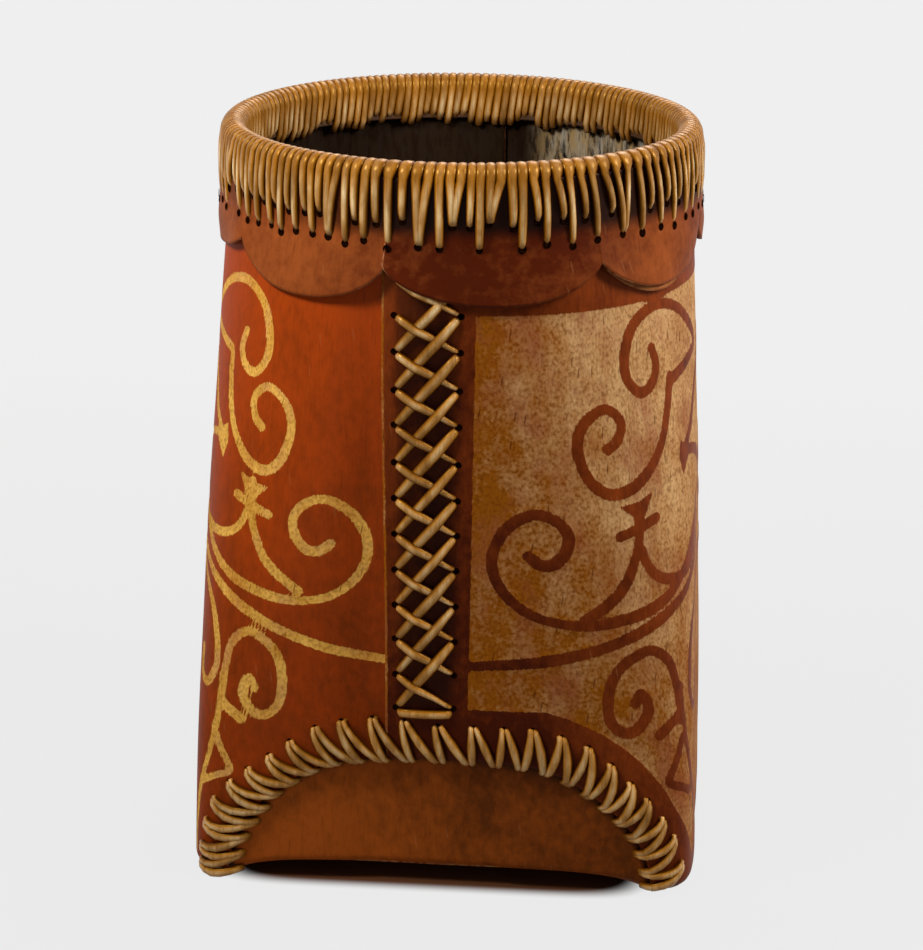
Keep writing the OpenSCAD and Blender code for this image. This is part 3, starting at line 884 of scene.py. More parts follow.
class BASKET_OT_walls(Operator):
    """Bend the two bark walls, lap their wings and scrape the ornament into them"""
    bl_idname = "basket.walls"
    bl_label = "Walls"

    def execute(self, context):
        for side, bend, face, slot in (("left", self.bend_left, winter_bark_red, "bark_red"),
                                       ("right", self.bend_right, winter_bark_scraped_tan, "bark_tan")):
            name = f"{side}_bark_wall"
            mesh = bark_grid(name, WALL_COLUMNS, WALL_ROWS, bend)
            bark_piece(name, mesh, form().bark_t, (face, *LINING), slot, f"{side}_wall")
        return {"FINISHED"}

    def feet(self):
        """The feet of both arches, as distances along the base's outline."""
        foot = form().arch_w / 2
        return [foot, -foot, half_round() - foot, half_round() + foot]

    def fold(self, along, z):
        """The round of the long folds, which the arches cut off at their feet."""
        f = form()
        return fold_inset(z, f.fold_r) * ramp(end_place(along) - f.arch_w / 2, 0, 8)

    def bend_right(self, across, up):
        """The upper wall: its wings' edges lean and are thinned, its ground is scraped between lines."""
        f = form()
        far = half_round()
        wings = [-f.lap_over, far + f.lap_over]
        along = crowded(across, *wings, self.feet() + wings, CROWD_REACH, CROWD_GAIN)
        z = lerp(arch_z(along), f.wall_h, up)
        near = end_place(along)
        wing = np.minimum(along - wings[0], wings[1] - along)
        lean = f.lap_lean * ramp(z, 100, 170) * (1 - ramp(wing, 0, 40))
        turn = turn_of(along + np.where(along > far / 2, lean, -lean))
        places = np.stack([middle_distance(turn, z), z], axis=-1)
        ground = np.minimum(panel(along, z), ornament(places, -1, f.stroke_right))
        inset = f.scrape_depth * ramp(ground, 0, SCRAPE_SLOPE) + self.fold(along, z)
        inset += SKIVE_DEPTH * np.clip(1 - wing / f.skive, 0.0, 1.0)
        low = np.clip((265 * MM - z) / (180 * MM), 0.0, 1.0)
        # Darker towards the bottom and towards the middle of the end.
        darkened = lerp(0.5, 1.0, low) * lerp(1.0, 0.45, ramp(near, 15, 70))
        offset = np.where(along > far / 2, far - along, along)
        laced = 1 - ramp(np.abs(offset + 5 * MM), 9, 4)
        bound = ramp(z, 78, 8) * (1 - ramp(z, 262, 8))
        side = np.clip((near - 15 * MM) / (75 * MM), 0.0, 1.0)
        high = np.clip((z - 60 * MM) / (160 * MM), 0.0, 1.0)
        angle = np.degrees(turn)
        return wall_points(turn, z, inset), {
            "bark_place": np.stack([along, z, near], axis=-1),
            "scraped": np.maximum(ground, f.skive - wing) / MM,
            "stain": lerp(darkened, 0.85 * low, 1 - ramp(offset, -14, 12)),
            "pale": 0.95 * side * lerp(0.25, 1.05, high),
            # Painted shade on the bark between the roots of the seam lacing.
            "grime": 0.6 * laced * bound,
            # Painted shade inside: the rind is marked unshaded only high up at the right and back.
            "clean": smooth((angle - 55) / 15) * (1 - smooth((angle - 158) / 10)) * ramp(z, 185, 25),
        }

    def bend_left(self, across, up):
        """The lower wall: its wings bend in under the upper ones, and the lines are scraped into it."""
        f = form()
        along = crowded(across, -half_round() - f.lap_under, f.lap_under, [-foot for foot in self.feet()],
                        CROWD_REACH, CROWD_GAIN)
        turn = turn_of(along)
        z = lerp(arch_z(along), f.wall_h, up)
        near = end_place(along)
        lines = -ornament(np.stack([middle_distance(turn, z), z], axis=-1), 1, f.stroke_left)
        inset = f.scrape_depth * ramp(lines, 0, SCRAPE_SLOPE) + self.fold(along, z)
        inset += layer() * step_in(turn)
        low = np.clip(1 - z / (270 * MM), 0.0, 1.0)
        return wall_points(turn, z, inset), {
            "bark_place": np.stack([along, z, near], axis=-1),
            "scraped": lines / MM,
            # Darker towards the bottom, and a little near the middle of each end.
            "stain": 0.7 * low + 0.1 * (1 - ramp(near, 15, 40)),
            "pale": 0.75,
        }


FLAKES, FLAKE_COLUMNS, FLAKE_ROWS = 56, 7, 5
RIND_T = 0.4 * MM


class BASKET_OT_inner_rind(Operator):
    """Tear flakes of the outer rind loose on the inside of the walls"""
    bl_idname = "basket.inner_rind"
    bl_label = "Inner rind"

    def execute(self, context):
        chance = random.Random(SEED + 3)
        gather = bmesh.new()
        for _ in range(FLAKES):
            self.flake(gather, chance)
        bark_piece("rind_flakes", gathered("rind_flakes", gather), RIND_T, [birch_outer_rind], "bark_tan")
        return {"FINISHED"}

    def flake(self, gather, chance):
        """One scale of rind, held along its lower edge, with a torn and curling top."""
        f = form()
        bm = bmesh.new()
        place = bm.verts.layers.float_vector.new("bark_place")
        clean = bm.verts.layers.float.new("clean")
        bmesh.ops.create_grid(bm, x_segments=FLAKE_COLUMNS, y_segments=FLAKE_ROWS, size=0.5)
        middle = math.radians(chance.uniform(35, 165))
        foot = chance.uniform(205, 268) * MM
        wide = chance.uniform(8, 24) * MM / (f.mouth_d / 2)
        tall = chance.uniform(8, 22) * MM
        curl = chance.uniform(0.8, 3.4) * MM
        shift = chance.uniform(0, 3)
        tear = [chance.uniform(-0.3, 0.25) for _ in range(FLAKE_COLUMNS + 1)]
        for vert in bm.verts:
            across, up = vert.co.x + 0.5, vert.co.y + 0.5
            turn = middle + wide * vert.co.x * (1 - 0.25 * up)
            z = foot + tall * up * (1 + tear[round(across * FLAKE_COLUMNS)])
            inset = f.bark_t + 0.15 * MM + curl * up ** 2
            vert.co = wall_points(turn, z, inset)
            vert[place] = (turn * 0.1 + shift, z, shift)
            # The loose flakes are marked unshaded, out of the painted shade.
            vert[clean] = 1.0
        add_copy(gather, bm)


TONGUE_COLUMNS, TONGUE_ROWS = 130, 50
TONGUE_FOLD = 4 * MM
BASE_COLUMNS, BASE_ROWS = 90, 60


class BASKET_OT_floor_and_tongues(Operator):
    """Fold the base of the basket and the tongue at each end"""
    bl_idname = "basket.floor_and_tongues"
    bl_label = "Base and tongues"

    def execute(self, context):
        skins = (winter_bark_brown, *LINING)
        for end, flip in ENDS:
            name = f"{end}_bark_tongue"
            mesh = bark_grid(name, TONGUE_COLUMNS, TONGUE_ROWS, self.bend_tongue)
            if flip < 0:
                mesh.transform(Matrix.Scale(-1, 4, (0, 1, 0)))
                mesh.flip_normals()
            bark_piece(name, mesh, form().bark_t, skins, "bark_brown", f"{end}_tongue")
        mesh = bark_grid("bark_base", BASE_COLUMNS, BASE_ROWS, self.bend_base)
        mesh.flip_normals()
        bark_piece("bark_base", mesh, form().bark_t, skins, "bark_brown", "base")
        return {"FINISHED"}

    def bend_tongue(self, across, up):
        """The front tongue, folded up from the base behind the wings."""
        along = lerp(-tongue_half(), tongue_half(), across)
        turn = turn_of(along)
        low = bow_z(along)
        z = lerp(low, tongue_z(along), up)
        inset = form().bark_t + TONGUE_GAP + layer() * step_in(turn) * step_out(turn)
        inset += fold_inset(z - low, TONGUE_FOLD)
        return wall_points(turn, z, inset), {
            "bark_place": np.stack([along, z, np.abs(along)], axis=-1),
            # Painted shade: each tongue darkens across its width towards +x, the right as seen from the
            # front.
            "stain": 0.9 * ramp(along, -85, 170),
            # Painted shade on the tongue just below the arch's edge.
            "grime": 0.8 * smooth(1 - (arch_z(along) - z) / (5 * MM)),
        }

    def bend_base(self, across, up):
        """The base, with the walls' outline at the floor, inside the folds and the tongues."""
        f = form()
        x, y = 2 * across - 1, 2 * up - 1
        reach = np.maximum(np.abs(x), np.abs(y))
        rim = wall_points(np.arctan2(x, -y), np.zeros(len(x))) / [f.base_w / 2, f.base_d / 2, 1.0]
        wide = f.base_w / 2 - f.fold_r
        deep = f.base_d / 2 - 2 * f.bark_t - TONGUE_GAP - layer()
        points = reach[:, None] * rim * [wide, deep, 0.0]
        points[:, 2] = bow_z(points[:, 0])
        return points, {"bark_place": points, "stain": 0.3}


# Angles of the cusps between the scallops. The collar starts and ends at the first one, where its start
# curls up over its end
CUSPS = [-12, 38, 82, 127, 172, 216, 260, 305, 348]
# How much shallower than the deepest each scallop is, in millimetres
SHALLOW = [0, 2, 4, 1, 3, 0, 8, 0]
COLLAR_COLUMNS, COLLAR_ROWS = 520, 36
CUSP_REACH = 1.2
COLLAR_DROP = 3 * MM
SIDE_BULGE = 2.0 * MM
# Where the collar's edge has curled away from the wall: angle, half the length, and how far
CURLS = [(-12, 10, 4.2), (348, 17, 3.0), (302, 6, 2.5), (46, 13, 3.0), (92, 12, 0.8), (134, 14, 2.4),
         (205, 12, 2.0), (252, 13, 2.6)]
# How dark the collar is stained, by angle
COLLAR_STAINS = [(-12, 0.8), (5, 0.95), (30, 0.9), (44, 0.45), (60, 0.3), (105, 0.3), (150, 0.5),
                 (194, 0.6), (238, 0.3), (282, 0.2), (318, 0.1), (338, 0.25), (348, 0.45)]
# A pale fleck on the collar: angle and half its length, height and half its height
FLECK_AT, FLECK_HALF, FLECK_Z, FLECK_TALL = 64, 13, 262 * MM, 11 * MM
# Where a layer of the bark has split off behind the collar's edge, from one angle to another
SPLIT_LAYER = (40, 67)
SPLIT_COLUMNS, SPLIT_ROWS = 40, 8
SPLIT_T = 0.7 * MM


def scallop_z(angle):
    """The collar's scalloped lower edge by angle."""
    slot = np.clip(np.searchsorted(CUSPS, angle, side="right") - 1, 0, len(CUSPS) - 2)
    start, stop = np.array(CUSPS)[slot], np.array(CUSPS)[slot + 1]
    off = np.abs(2 * np.clip((angle - start) / (stop - start), 0.0, 1.0) - 1)
    shallow = np.array(SHALLOW)[slot] * MM
    depth = form().scallop_depth - shallow
    return form().collar_low + shallow + depth * lerp(1 - np.sqrt(1 - off ** 2), off ** 2.5, 0.4)


def collar_top():
    return form().wall_h - COLLAR_DROP


def collar_inset(angle, up):
    """How deep the collar's face lies by angle and by the share of the way up: it lies over the walls,
    curls away from them in places and bulges a little at both sides."""
    lift = sum(rise * MM * np.exp(-((angle - spot) / reach) ** 2) for spot, reach, rise in CURLS)
    sideways = np.abs(np.sin(np.radians(angle))) ** 6
    bulge = SIDE_BULGE * smooth((1 - up) / 0.6) * smooth((up + 0.1) / 0.35) * sideways
    return -form().bark_t - COLLAR_GAP - lift * (1 - up) ** 3 - bulge


class BASKET_OT_collar(Operator):
    """Cut the scalloped collar and wrap it round the mouth"""
    bl_idname = "basket.collar"
    bl_label = "Collar"

    def execute(self, context):
        skins = (winter_bark_collar, winter_bark_collar, cut_bark_edge)
        mesh = bark_grid("bark_collar", COLLAR_COLUMNS, COLLAR_ROWS, self.bend)
        bark_piece("bark_collar", mesh, form().bark_t, skins, "bark_red", "collar")
        mesh = bark_grid("collar_split_layer", SPLIT_COLUMNS, SPLIT_ROWS, self.bend_split)
        bark_piece("collar_split_layer", mesh, SPLIT_T, skins, "bark_red")
        return {"FINISHED"}

    def place(self, turn, z, shift):
        """Places on the strip as it was cut, shifted so that its pattern is its own."""
        return np.stack([turn * form().mouth_d / 2 + shift, z, np.full(len(z), 0.5)], axis=-1)

    def bend(self, across, up):
        """The collar itself, darker towards the front, with painted shade under the binding."""
        angle = crowded(across, CUSPS[0], CUSPS[-1], CUSPS, CUSP_REACH, CROWD_GAIN)
        z = lerp(scallop_z(angle), collar_top(), up)
        turn = np.radians(angle)
        flecked = np.exp(-((angle - FLECK_AT) / FLECK_HALF) ** 2 - ((z - FLECK_Z) / FLECK_TALL) ** 2)
        # The painted shade under the binding is weaker on the left side.
        less_painted_shade = 0.6 * smooth(-2 * np.sin(turn) - 0.4)
        return wall_points(turn, z, collar_inset(angle, up)), {
            "bark_place": self.place(turn, z, 0.7),
            "scraped": lerp(-1.2, -0.3, flecked),
            "stain": np.interp(angle, *zip(*COLLAR_STAINS)),
            "pale": 0.7,
            "grime": 0.93 * ramp(z, 281, 7) * (1 - less_painted_shade),
        }

    def bend_split(self, across, up):
        """The layer that has split off, which hangs a little below the scallop."""
        angle = lerp(*SPLIT_LAYER, across)
        turn = np.radians(angle)
        swell = np.sin(np.pi * across)
        z = lerp(scallop_z(angle) - 2.6 * MM * swell ** 0.7, scallop_z(angle) + 9 * MM, up)
        lift = 1.6 * MM * swell * (1 - up) ** 2
        return wall_points(turn, z, -SPLIT_T - 0.2 * MM - lift), {
            "bark_place": self.place(turn, z, 1.4),
            "scraped": 0.3,
            "stain": 0.0,
            "pale": 0.9,
        }


class BASKET_OT_hoop(Operator):
    """Finish the wooden hoop inside the mouth"""
    bl_idname = "basket.hoop"
    bl_label = "Hoop"

    def execute(self, context):
        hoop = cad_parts["rim_hoop"]
        hoop.data.materials.clear()
        hoop.data.materials.append(material_of(bent_cedar_splint))
        return {"FINISHED"}


BINDING_LENGTHS = 4
# Share of its thickness that a wrap keeps where it is pulled flat over the rim, how much wider than its
# own place it spreads there, and the degrees between two stations of that arc
FLAT, CREST_SPREAD, ARC_STEP = 0.68, 1.04, 22
HOOP_T = 2.5 * MM
# Room between a root and the bark under it, how deep a root's end goes into its hole, and how far the
# binding's middle lies outside the mouth
ROOT_CLEAR, ROOT_SINK, BINDING_OUT = 0.5 * MM, 1.2 * MM, 3 * MM
# How far the wraps stand above the frame's rim
CREST_RISE = 1.2 * MM
# How far the middle of an awl hole lies below its wrap's foot, and how far its lip stands off the bark
HOLE_DROP, HOLE_PROUD = 1.2 * MM, 0.2 * MM
# Places on the rim where the wraps stand wider apart, or closer: angle, half the length, extra pitch
LOOSE = [(-11, 6, 1.4), (6, 8, -0.5), (43, 25, 1.9), (180, 60, -0.4)]
# Where wraps often share a hole in pairs, and how often there and elsewhere
PAIRED, PAIRED_OFTEN, PAIRED_ELSEWHERE = (-4, 17), 0.5, 0.14


class BASKET_OT_rim_binding(Operator):
    """Bind the rim with wraps of split root through awl holes of two depths"""
    bl_idname = "basket.rim_binding"
    bl_label = "Rim binding"

    def execute(self, context):
        chance = random.Random(SEED)
        quarters = [[] for _ in range(BINDING_LENGTHS)]
        holes = []
        for wrap in self.wraps(chance):
            quarter = int(wrap["top"] // (360 / BINDING_LENGTHS)) % BINDING_LENGTHS
            quarters[quarter].append(self.path(wrap))
            if wrap["shared"]:
                continue
            turn = math.radians(wrap["hole"])
            z = wrap["z"] - HOLE_DROP
            angle = (wrap["hole"] - CUSPS[0]) % 360 + CUSPS[0]
            low = scallop_z(angle)
            inset = collar_inset(angle, (z - low) / (collar_top() - low)) - HOLE_PROUD
            radius = roots().hole_r * chance.uniform(0.85, 1.1)
            holes.append((wall_points(turn, z, inset), wall_normals(turn, z), radius))
        for k, paths in enumerate(quarters, 1):
            root_piece(f"root_binding_{k}", paths, chance, [f"rim_binding_{k}"])
        hole_piece("rim_awl_holes", holes, "bark_red")
        return {"FINISHED"}

    def wraps(self, chance):
        """Each wrap's place on top of the rim, its awl hole, and its width."""
        tops = [0.0]
        around = form().mouth_d / 2 + BINDING_OUT
        while tops[-1] < 360:
            at = tops[-1]
            extra = sum(more * math.exp(-(((at - spot + 180) % 360 - 180) / reach) ** 2)
                        for spot, reach, more in LOOSE)
            pitch = (roots().wrap_pitch + extra * MM) * chance.uniform(0.9, 1.1)
            tops.append(at + math.degrees(pitch / around))
        fit = 360 / tops[-1]
        tops = [t * fit for t in tops[:-1]]
        wraps = []
        for k, top in enumerate(tops):
            step = (tops[(k + 1) % len(tops)] - top) % 360
            drop = roots().long_drop if k % 2 == 0 else roots().short_drop
            lean = 0.6 * smooth((top - 12) / 20) * (1 - smooth((top - 95) / 40))
            space = math.radians(step) * around
            wraps.append({
                "top": top,
                "hole": top + step * (lean + chance.uniform(-0.2, 0.2)),
                "z": form().wall_h - drop + chance.uniform(-1.2, 1.2) * MM,
                "step": step,
                "width": min(space, roots().wrap_w) * (1 - 0.4 * lean) * chance.uniform(0.94, 1.04),
                "crest": space * CREST_SPREAD,
                "inside": form().wall_h - chance.uniform(14, 19) * MM,
                "shared": False,
            })
            folded = (top + 180) % 360 - 180
            often = PAIRED_OFTEN if PAIRED[0] < folded < PAIRED[1] else PAIRED_ELSEWHERE
            if chance.random() < often and k > 0 and not wraps[-2]["shared"]:
                wraps[-1]["hole"] = wraps[-2]["hole"] + 0.2 * step
                wraps[-1]["z"] = wraps[-2]["z"]
                wraps[-1]["shared"] = True
        return wraps

    def path(self, wrap):
        """Stations of one wrap: up the outside, over the rim, and down inside the hoop. Each has an angle,
        a radius, a height, and shares of the wrap's width and thickness."""
        f, r = form(), roots()
        thick = r.wrap_t
        mouth = f.mouth_d / 2
        out = mouth + COLLAR_GAP + f.bark_t + ROOT_CLEAR
        far = mouth - 2 * layer() - HOOP_T - ROOT_CLEAR
        middle, half = (out + far) / 2, (out - far) / 2
        brow = collar_top()
        crown = RIM_TOP + CREST_RISE - thick * FLAT / 2 - brow
        crest = wrap["crest"] / wrap["width"]
        top, hole = math.radians(wrap["top"]), math.radians(wrap["hole"])
        leave = top + math.radians(wrap["step"]) * 0.9
        stations = [(hole, out - 2.8 * MM, wrap["z"] - 0.9 * MM, 0.72, 0.6),
                    (hole, out - 0.8 * MM, wrap["z"] + 0.2 * MM, 0.78, 0.85),
                    (hole, out, wrap["z"] + 2.2 * MM, 0.84, 0.95)]
        for share in (0.34, 0.56, 0.78):
            convex = 0.5 * MM * math.sin(math.pi * share)
            stations.append((lerp(hole, top, share ** 1.6), out + convex, lerp(wrap["z"], brow, share),
                             lerp(0.88, 1.0, share), lerp(1.0, 0.85, share)))
        for angle in range(0, 181, ARC_STEP):
            a = math.radians(angle)
            stations.append((lerp(top, leave, 0.35 * angle / 180), middle + half * math.cos(a),
                             brow + crown * math.sin(a), lerp(1.0, crest, min(angle / 45, 1.0)), FLAT))
        for share in (0.4, 0.75):
            stations.append((lerp(top, leave, lerp(0.35, 1.0, share)), far,
                             lerp(brow, wrap["inside"], share), 0.92 * crest, FLAT))
        stations.append((leave, far + 1.5 * MM, wrap["inside"], 0.85, FLAT))
        stations.append((leave, far + 5 * MM, wrap["inside"] - 1.2 * MM, 0.7, 0.6))
        path = []
        for turn, radius, z, broad, deep in stations:
            way = Vector((math.sin(turn), -math.cos(turn), 0.0))
            point = way * radius + Vector((0.0, 0.0, z))
            outward = way if radius > middle else -way
            if z > brow:
                outward = (point - way * middle - Vector((0.0, 0.0, brow))).normalized()
            path.append((point, outward, wrap["width"] * broad, thick * deep))
        return path


def lace_point(share, z, inset, row_share):
    """A point on the front seam, by its share of the way from the left holes to the right ones."""
    left = roots().lace_left + lerp(1.6, 0.0, row_share) * MM
    right = roots().lace_right + lerp(2.0, -1.2, row_share) * MM
    turn = math.atan(2 * lerp(-left, right, share) / form().base_w)
    return wall_points(turn, z, inset), wall_normals(turn, z)


def at_end(point, out, flip):
    """A front point and its way out, or their mirror image at the back."""
    turn = np.array([1.0, flip, 1.0])
    return point * turn, out * turn


class BASKET_OT_seam_lacing(Operator):
    """Lace the lapped wings with two crossing roots at each end"""
    bl_idname = "basket.seam_lacing"
    bl_label = "Seam lacing"

    def execute(self, context):
        chance = random.Random(SEED + 1)
        rows = roots().lace_rows
        for end, flip in ENDS:
            rising = [self.path(n, n - 2, False, flip, chance) for n in range(2, rows)]
            # The topmost pass goes in under the collar before it reaches the right holes
            rising.append(self.path(1, -0.55, False, flip, chance, 0.8))
            rising.append(self.closing(flip))
            falling = [self.path(n, n + 1, True, flip, chance) for n in range(-1, rows - 1)]
            root_piece(f"{end}_root_rising", rising, chance, [f"{end}_seam_rising"])
            root_piece(f"{end}_root_falling", falling, chance, [f"{end}_seam_falling"])
            holes = [self.hole(n, share, flip, chance) for n in range(rows) for share in (-0.05, 1.05)]
            hole_piece(f"{end}_seam_awl_holes", holes, "bark_tan")
        return {"FINISHED"}

    def row_z(self, n):
        return roots().lace_low + (roots().lace_rows - 1 - n) * roots().lace_pitch

    def path(self, start, stop, over_first, flip, chance, reach=1.0):
        """Stations of one pass from the left hole of one row to the right hole of another."""
        thick, width = roots().lace_t, roots().lace_w * chance.uniform(0.92, 1.08)
        lie, over = -thick * 0.4, -thick * 1.2
        first, second = (over, lie) if over_first else (lie, over)
        stops = [(0.0, ROOT_SINK), (0.03, lie * 0.4), (0.1, lie), (0.31, first), (0.5, (lie + over) / 2),
                 (0.69, second), (0.9, lie), (0.97, lie * 0.4), (1.0, ROOT_SINK)]
        z0 = self.row_z(start) + (-1.2 if over_first else 1.2) * MM
        z1 = self.row_z(stop) + (1.2 if over_first else -1.2) * MM
        path = []
        for share, inset in stops:
            z = lerp(z0, z1, share)
            row_share = 1 - (z - roots().lace_low) / (roots().lace_rows * roots().lace_pitch)
            point, out = at_end(*lace_point(share * reach, z, inset, row_share), flip)
            broad = np.interp(share, (0.0, 0.15, 0.5, 0.75, 1.0),
                              (0.8, 0.95, 0.9, 0.65, 0.5) if over_first else (0.85, 1.0, 1.1, 1.1, 0.9))
            path.append((point, out, width * broad, thick))
        return path

    def closing(self, flip):
        """The last pass, level along the lowest row."""
        thick, width = roots().lace_t, roots().lace_w
        z = roots().lace_low - 2.2 * MM
        stops = [(0.0, 1.0 * MM), (0.04, -thick * 0.3), (0.2, -thick * 0.5), (0.5, -thick * 0.65),
                 (0.8, -thick * 0.5), (0.96, -thick * 0.3), (1.0, 1.0 * MM)]
        path = []
        for share, inset in stops:
            point, out = at_end(*lace_point(share, z, inset, 1.0), flip)
            path.append((point, out, width, thick))
        return path

    def hole(self, n, share, flip, chance):
        z = self.row_z(n) + chance.uniform(-0.5, 0.5) * MM
        row_share = n / roots().lace_rows
        return (*at_end(*lace_point(share, z, 0.0, row_share), flip), roots().hole_r * 0.85)


# Angles round an arch: between which the stitches stay, from one stitch to the next, and half the space
# between the two strands that share a hole
ARCH_SPAN, STITCH_STEP, STRAND_HALF = (2.2, 177.8), 7.48, 0.55


class BASKET_OT_arch_lacing(Operator):
    """Stitch the wings to the tongue round the arch at each end"""
    bl_idname = "basket.arch_lacing"
    bl_label = "Arch lacing"

    def execute(self, context):
        chance = random.Random(SEED + 2)
        for end, flip in ENDS:
            paths, holes = [], []
            for k in range(roots().stitches):
                high = self.hole_angle(k) + chance.uniform(-0.4, 0.4)
                tall = roots().stitch_up + (2.4 * math.cos(math.tau * (high - 120) / 52)
                                            + chance.uniform(-0.6, 0.6)) * MM
                strands = ((self.foot_angle(k) + 0.5, high - STRAND_HALF),
                           (self.foot_angle(k + 1) - 0.9, high + STRAND_HALF))
                paths += [self.path(foot, head, tall, flip, chance) for foot, head in strands]
                hole = self.spot(self.place(high, tall + 0.4 * MM), 0.0, flip)
                holes.append((*hole, roots().hole_r * 0.7))
            root_piece(f"{end}_root_arch", paths, chance, [f"{end}_arch_lacing"])
            hole_piece(f"{end}_arch_awl_holes", holes, "bark_tan")
        return {"FINISHED"}

    def hole_angle(self, k):
        return 3.2 if k == 0 else 7.5 + STITCH_STEP * (k - 1) + 2 * math.sin(math.tau * (k - 1) / 23)

    def foot_angle(self, k):
        """Feet crowd towards the arch's right side, where the stitches lean less."""
        return float(np.clip(1.0 + 7.45 * k + 3.4 * math.sin(math.tau * k / roots().stitches), *ARCH_SPAN))

    def place(self, angle, off):
        """Distance along the wall and height, by the angle round the arch and the distance off its edge."""
        f = form()
        a = math.radians(angle)
        share = -math.copysign(abs(math.cos(a)) ** (2 / ARCH_POWER), math.cos(a))
        rise = abs(math.sin(a)) ** (2 / ARCH_POWER)
        way = Vector((math.copysign(abs(share) ** (ARCH_POWER - 1), share) / f.arch_w * 2,
                      rise ** (ARCH_POWER - 1) / f.arch_h)).normalized()
        return Vector((share * f.arch_w / 2, rise * f.arch_h)) + off * way

    def spot(self, place, inset, flip):
        turn = turn_of(np.array([place[0]]))[0]
        return at_end(wall_points(turn, place[1], inset), wall_normals(turn, place[1]), flip)

    def path(self, low, high, tall, flip, chance):
        """Stations of one strand from the tongue, over the arch's edge, to its hole in the wing."""
        thick, width = roots().lace_t, roots().stitch_w * chance.uniform(0.92, 1.06)
        edge = SHOULDER * math.exp(-((abs(low - 90) - 28) / 13) ** 2)
        edge -= 2.0 * MM * float(smooth((45 - low) / 15))
        foot, head = self.place(low, edge - 1.2 * MM), self.place(high, tall)
        way = head - foot
        bow = Vector((-way[1], way[0])) * 0.1 * float(np.clip((100 - high) / 60, -0.6, 1.0))
        stops = [(-0.04, 3.0 * MM), (0.0, 0.6 * MM), (0.08, -thick * 0.35), (0.28, -thick * 0.55),
                 (0.5, -thick * 0.6), (0.72, -thick * 0.55), (0.9, -thick * 0.4), (0.98, -thick * 0.15),
                 (1.0, ROOT_SINK)]
        path = []
        for share, inset in stops:
            place = foot + way * share + bow * math.sin(math.pi * share)
            place[1] = max(place[1], thick * 0.6)
            point, out = self.spot(place, inset, flip)
            broad = np.interp(share, (0.0, 0.45, 1.0), (0.8, 1.0, 0.6))
            path.append((point, out, width * broad, thick))
        return path


PHOTO_W, PHOTO_H = 923, 950
FOCAL_PX = 3085.0
CENTRE_PX = (458.2, 477.4)
CAMERA_AZIMUTH, CAMERA_ELEVATION, CAMERA_ROLL = 4.9, 17.9, 0.6
CAMERA_DISTANCE = 1.313
CAMERA_TARGET = Vector((0.0, 0.0, 0.156))
LAMP_TARGET = Vector((0.0, 0.0, 0.25))
# Soft lamps: azimuth from the front, elevation, distance, width and height in metres, and watts
LAMPS = {
    "key_softbox": (-45, 40, 0.62, 0.14, 0.14, 3.1),
    "right_softbox": (74, 34, 0.75, 0.14, 0.3, 4.5),
    "low_left_strip": (-22, -14, 0.8, 0.05, 0.08, 0.35),
    "low_right_strip": (85, -12, 0.8, 0.05, 0.08, 0.35),
    "back_fill": (170, 50, 1.0, 0.5, 0.5, 5.0),
}
SKY_STRENGTH, SKY_PALE = 0.12, 0.95
FLOOR_HALF = 8.0


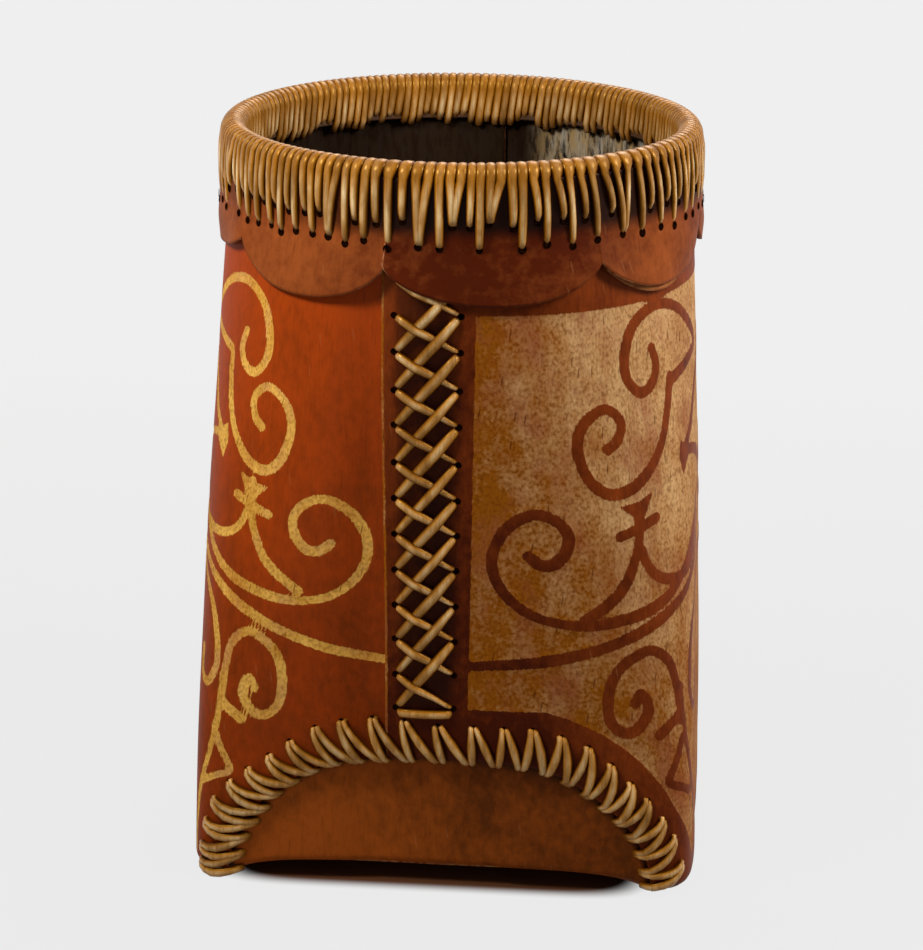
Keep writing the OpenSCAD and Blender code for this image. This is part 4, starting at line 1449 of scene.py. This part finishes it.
class BASKET_OT_stage(Operator):
    """Lay the pale floor and set the lamps and the camera"""
    bl_idname = "basket.stage"
    bl_label = "Stage"

    def execute(self, context):
        bm = bmesh.new()
        bmesh.ops.create_grid(bm, x_segments=4, y_segments=4, size=FLOOR_HALF)
        mesh = gathered("studio_floor", bm)
        mesh.materials.append(material_of(studio_paper))
        floor = bpy.data.objects.new("studio_floor", mesh)
        context.scene.collection.objects.link(floor)
        self.sky(context.scene)
        self.lamps(context.scene)
        self.camera(context.scene)
        context.scene.view_settings.view_transform = "Standard"
        return {"FINISHED"}

    def sky(self, scene):
        """A dim even sky that shows as pale as the floor."""
        world = bpy.data.worlds.new("studio_sky")
        world.use_nodes = True
        world.node_tree.nodes.clear()
        add = partial(add_node, world.node_tree)
        dim = add("Background", {"Color": (1.0, 1.0, 1.0, 1.0), "Strength": SKY_STRENGTH})
        pale = add("Background", {"Color": rgba(colours().backdrop), "Strength": SKY_PALE})
        both = add("MixShader", {0: seen_pale(add, 1.0), 1: dim, 2: pale})
        add("OutputWorld", {"Surface": both})
        scene.world = world

    def lamps(self, scene):
        for name, (azimuth, elevation, distance, wide, high, watts) in LAMPS.items():
            lamp = bpy.data.lights.new(name, "AREA")
            lamp.shape = "RECTANGLE"
            lamp.size = wide
            lamp.size_y = high
            lamp.energy = watts
            holder = bpy.data.objects.new(name, lamp)
            a, e = math.radians(azimuth), math.radians(elevation)
            way = Vector((math.sin(a) * math.cos(e), -math.cos(a) * math.cos(e), math.sin(e)))
            holder.rotation_euler = way.to_track_quat("Z", "Y").to_euler()
            holder.location = LAMP_TARGET + way * distance
            holder.visible_camera = False
            scene.collection.objects.link(holder)

    def camera(self, scene):
        a, e, roll = (math.radians(v) for v in (CAMERA_AZIMUTH, CAMERA_ELEVATION, CAMERA_ROLL))
        right = Vector((math.cos(a), math.sin(a), 0.0))
        ahead = Vector((-math.sin(a) * math.cos(e), math.cos(a) * math.cos(e), -math.sin(e)))
        up = right.cross(ahead)
        rolled_right = right * math.cos(roll) + up * math.sin(roll)
        rolled_up = up * math.cos(roll) - right * math.sin(roll)
        camera = bpy.data.cameras.new("photo_camera")
        camera.sensor_width = 36.0
        camera.lens = FOCAL_PX / max(PHOTO_W, PHOTO_H) * camera.sensor_width
        camera.shift_x = (PHOTO_W / 2 - CENTRE_PX[0]) / max(PHOTO_W, PHOTO_H)
        camera.shift_y = (CENTRE_PX[1] - PHOTO_H / 2) / max(PHOTO_W, PHOTO_H)
        holder = bpy.data.objects.new("photo_camera", camera)
        turned = Matrix((rolled_right, rolled_up, -ahead)).transposed()
        holder.matrix_world = Matrix.Translation(CAMERA_TARGET - ahead * CAMERA_DISTANCE) @ turned.to_4x4()
        scene.collection.objects.link(holder)
        scene.camera = holder


OPERATORS = (BASKET_OT_stage, BASKET_OT_walls, BASKET_OT_inner_rind, BASKET_OT_floor_and_tongues,
             BASKET_OT_collar, BASKET_OT_hoop, BASKET_OT_rim_binding, BASKET_OT_seam_lacing,
             BASKET_OT_arch_lacing)


class BASKET_PT_sidebar(Panel):
    """Lists the basket's sizes, colours and pieces"""
    bl_label = "Birch Bark Basket"
    bl_idname = "BASKET_PT_sidebar"
    bl_space_type = "VIEW_3D"
    bl_region_type = "UI"
    bl_category = "Basket"

    def draw(self, context):
        for operator in OPERATORS:
            self.layout.operator(operator.bl_idname)
        for group in (form(), roots(), colours()):
            box = self.layout.box()
            for name in group.__annotations__:
                box.prop(group, name)


GROUPS = {"basket_form": BasketForm, "basket_roots": BasketRoots, "basket_colours": BasketColours}
CLASSES = (*GROUPS.values(), *OPERATORS, BASKET_PT_sidebar)


def register():
    for each in CLASSES:
        bpy.utils.register_class(each)
    for name, group in GROUPS.items():
        setattr(bpy.types.Scene, name, PointerProperty(type=group))


def unregister():
    for name in GROUPS:
        delattr(bpy.types.Scene, name)
    for each in reversed(CLASSES):
        bpy.utils.unregister_class(each)


def main():
    register()
    for operator in OPERATORS:
        group, name = operator.bl_idname.split(".")
        getattr(getattr(bpy.ops, group), name)()


if __name__ == "__main__":
    main()
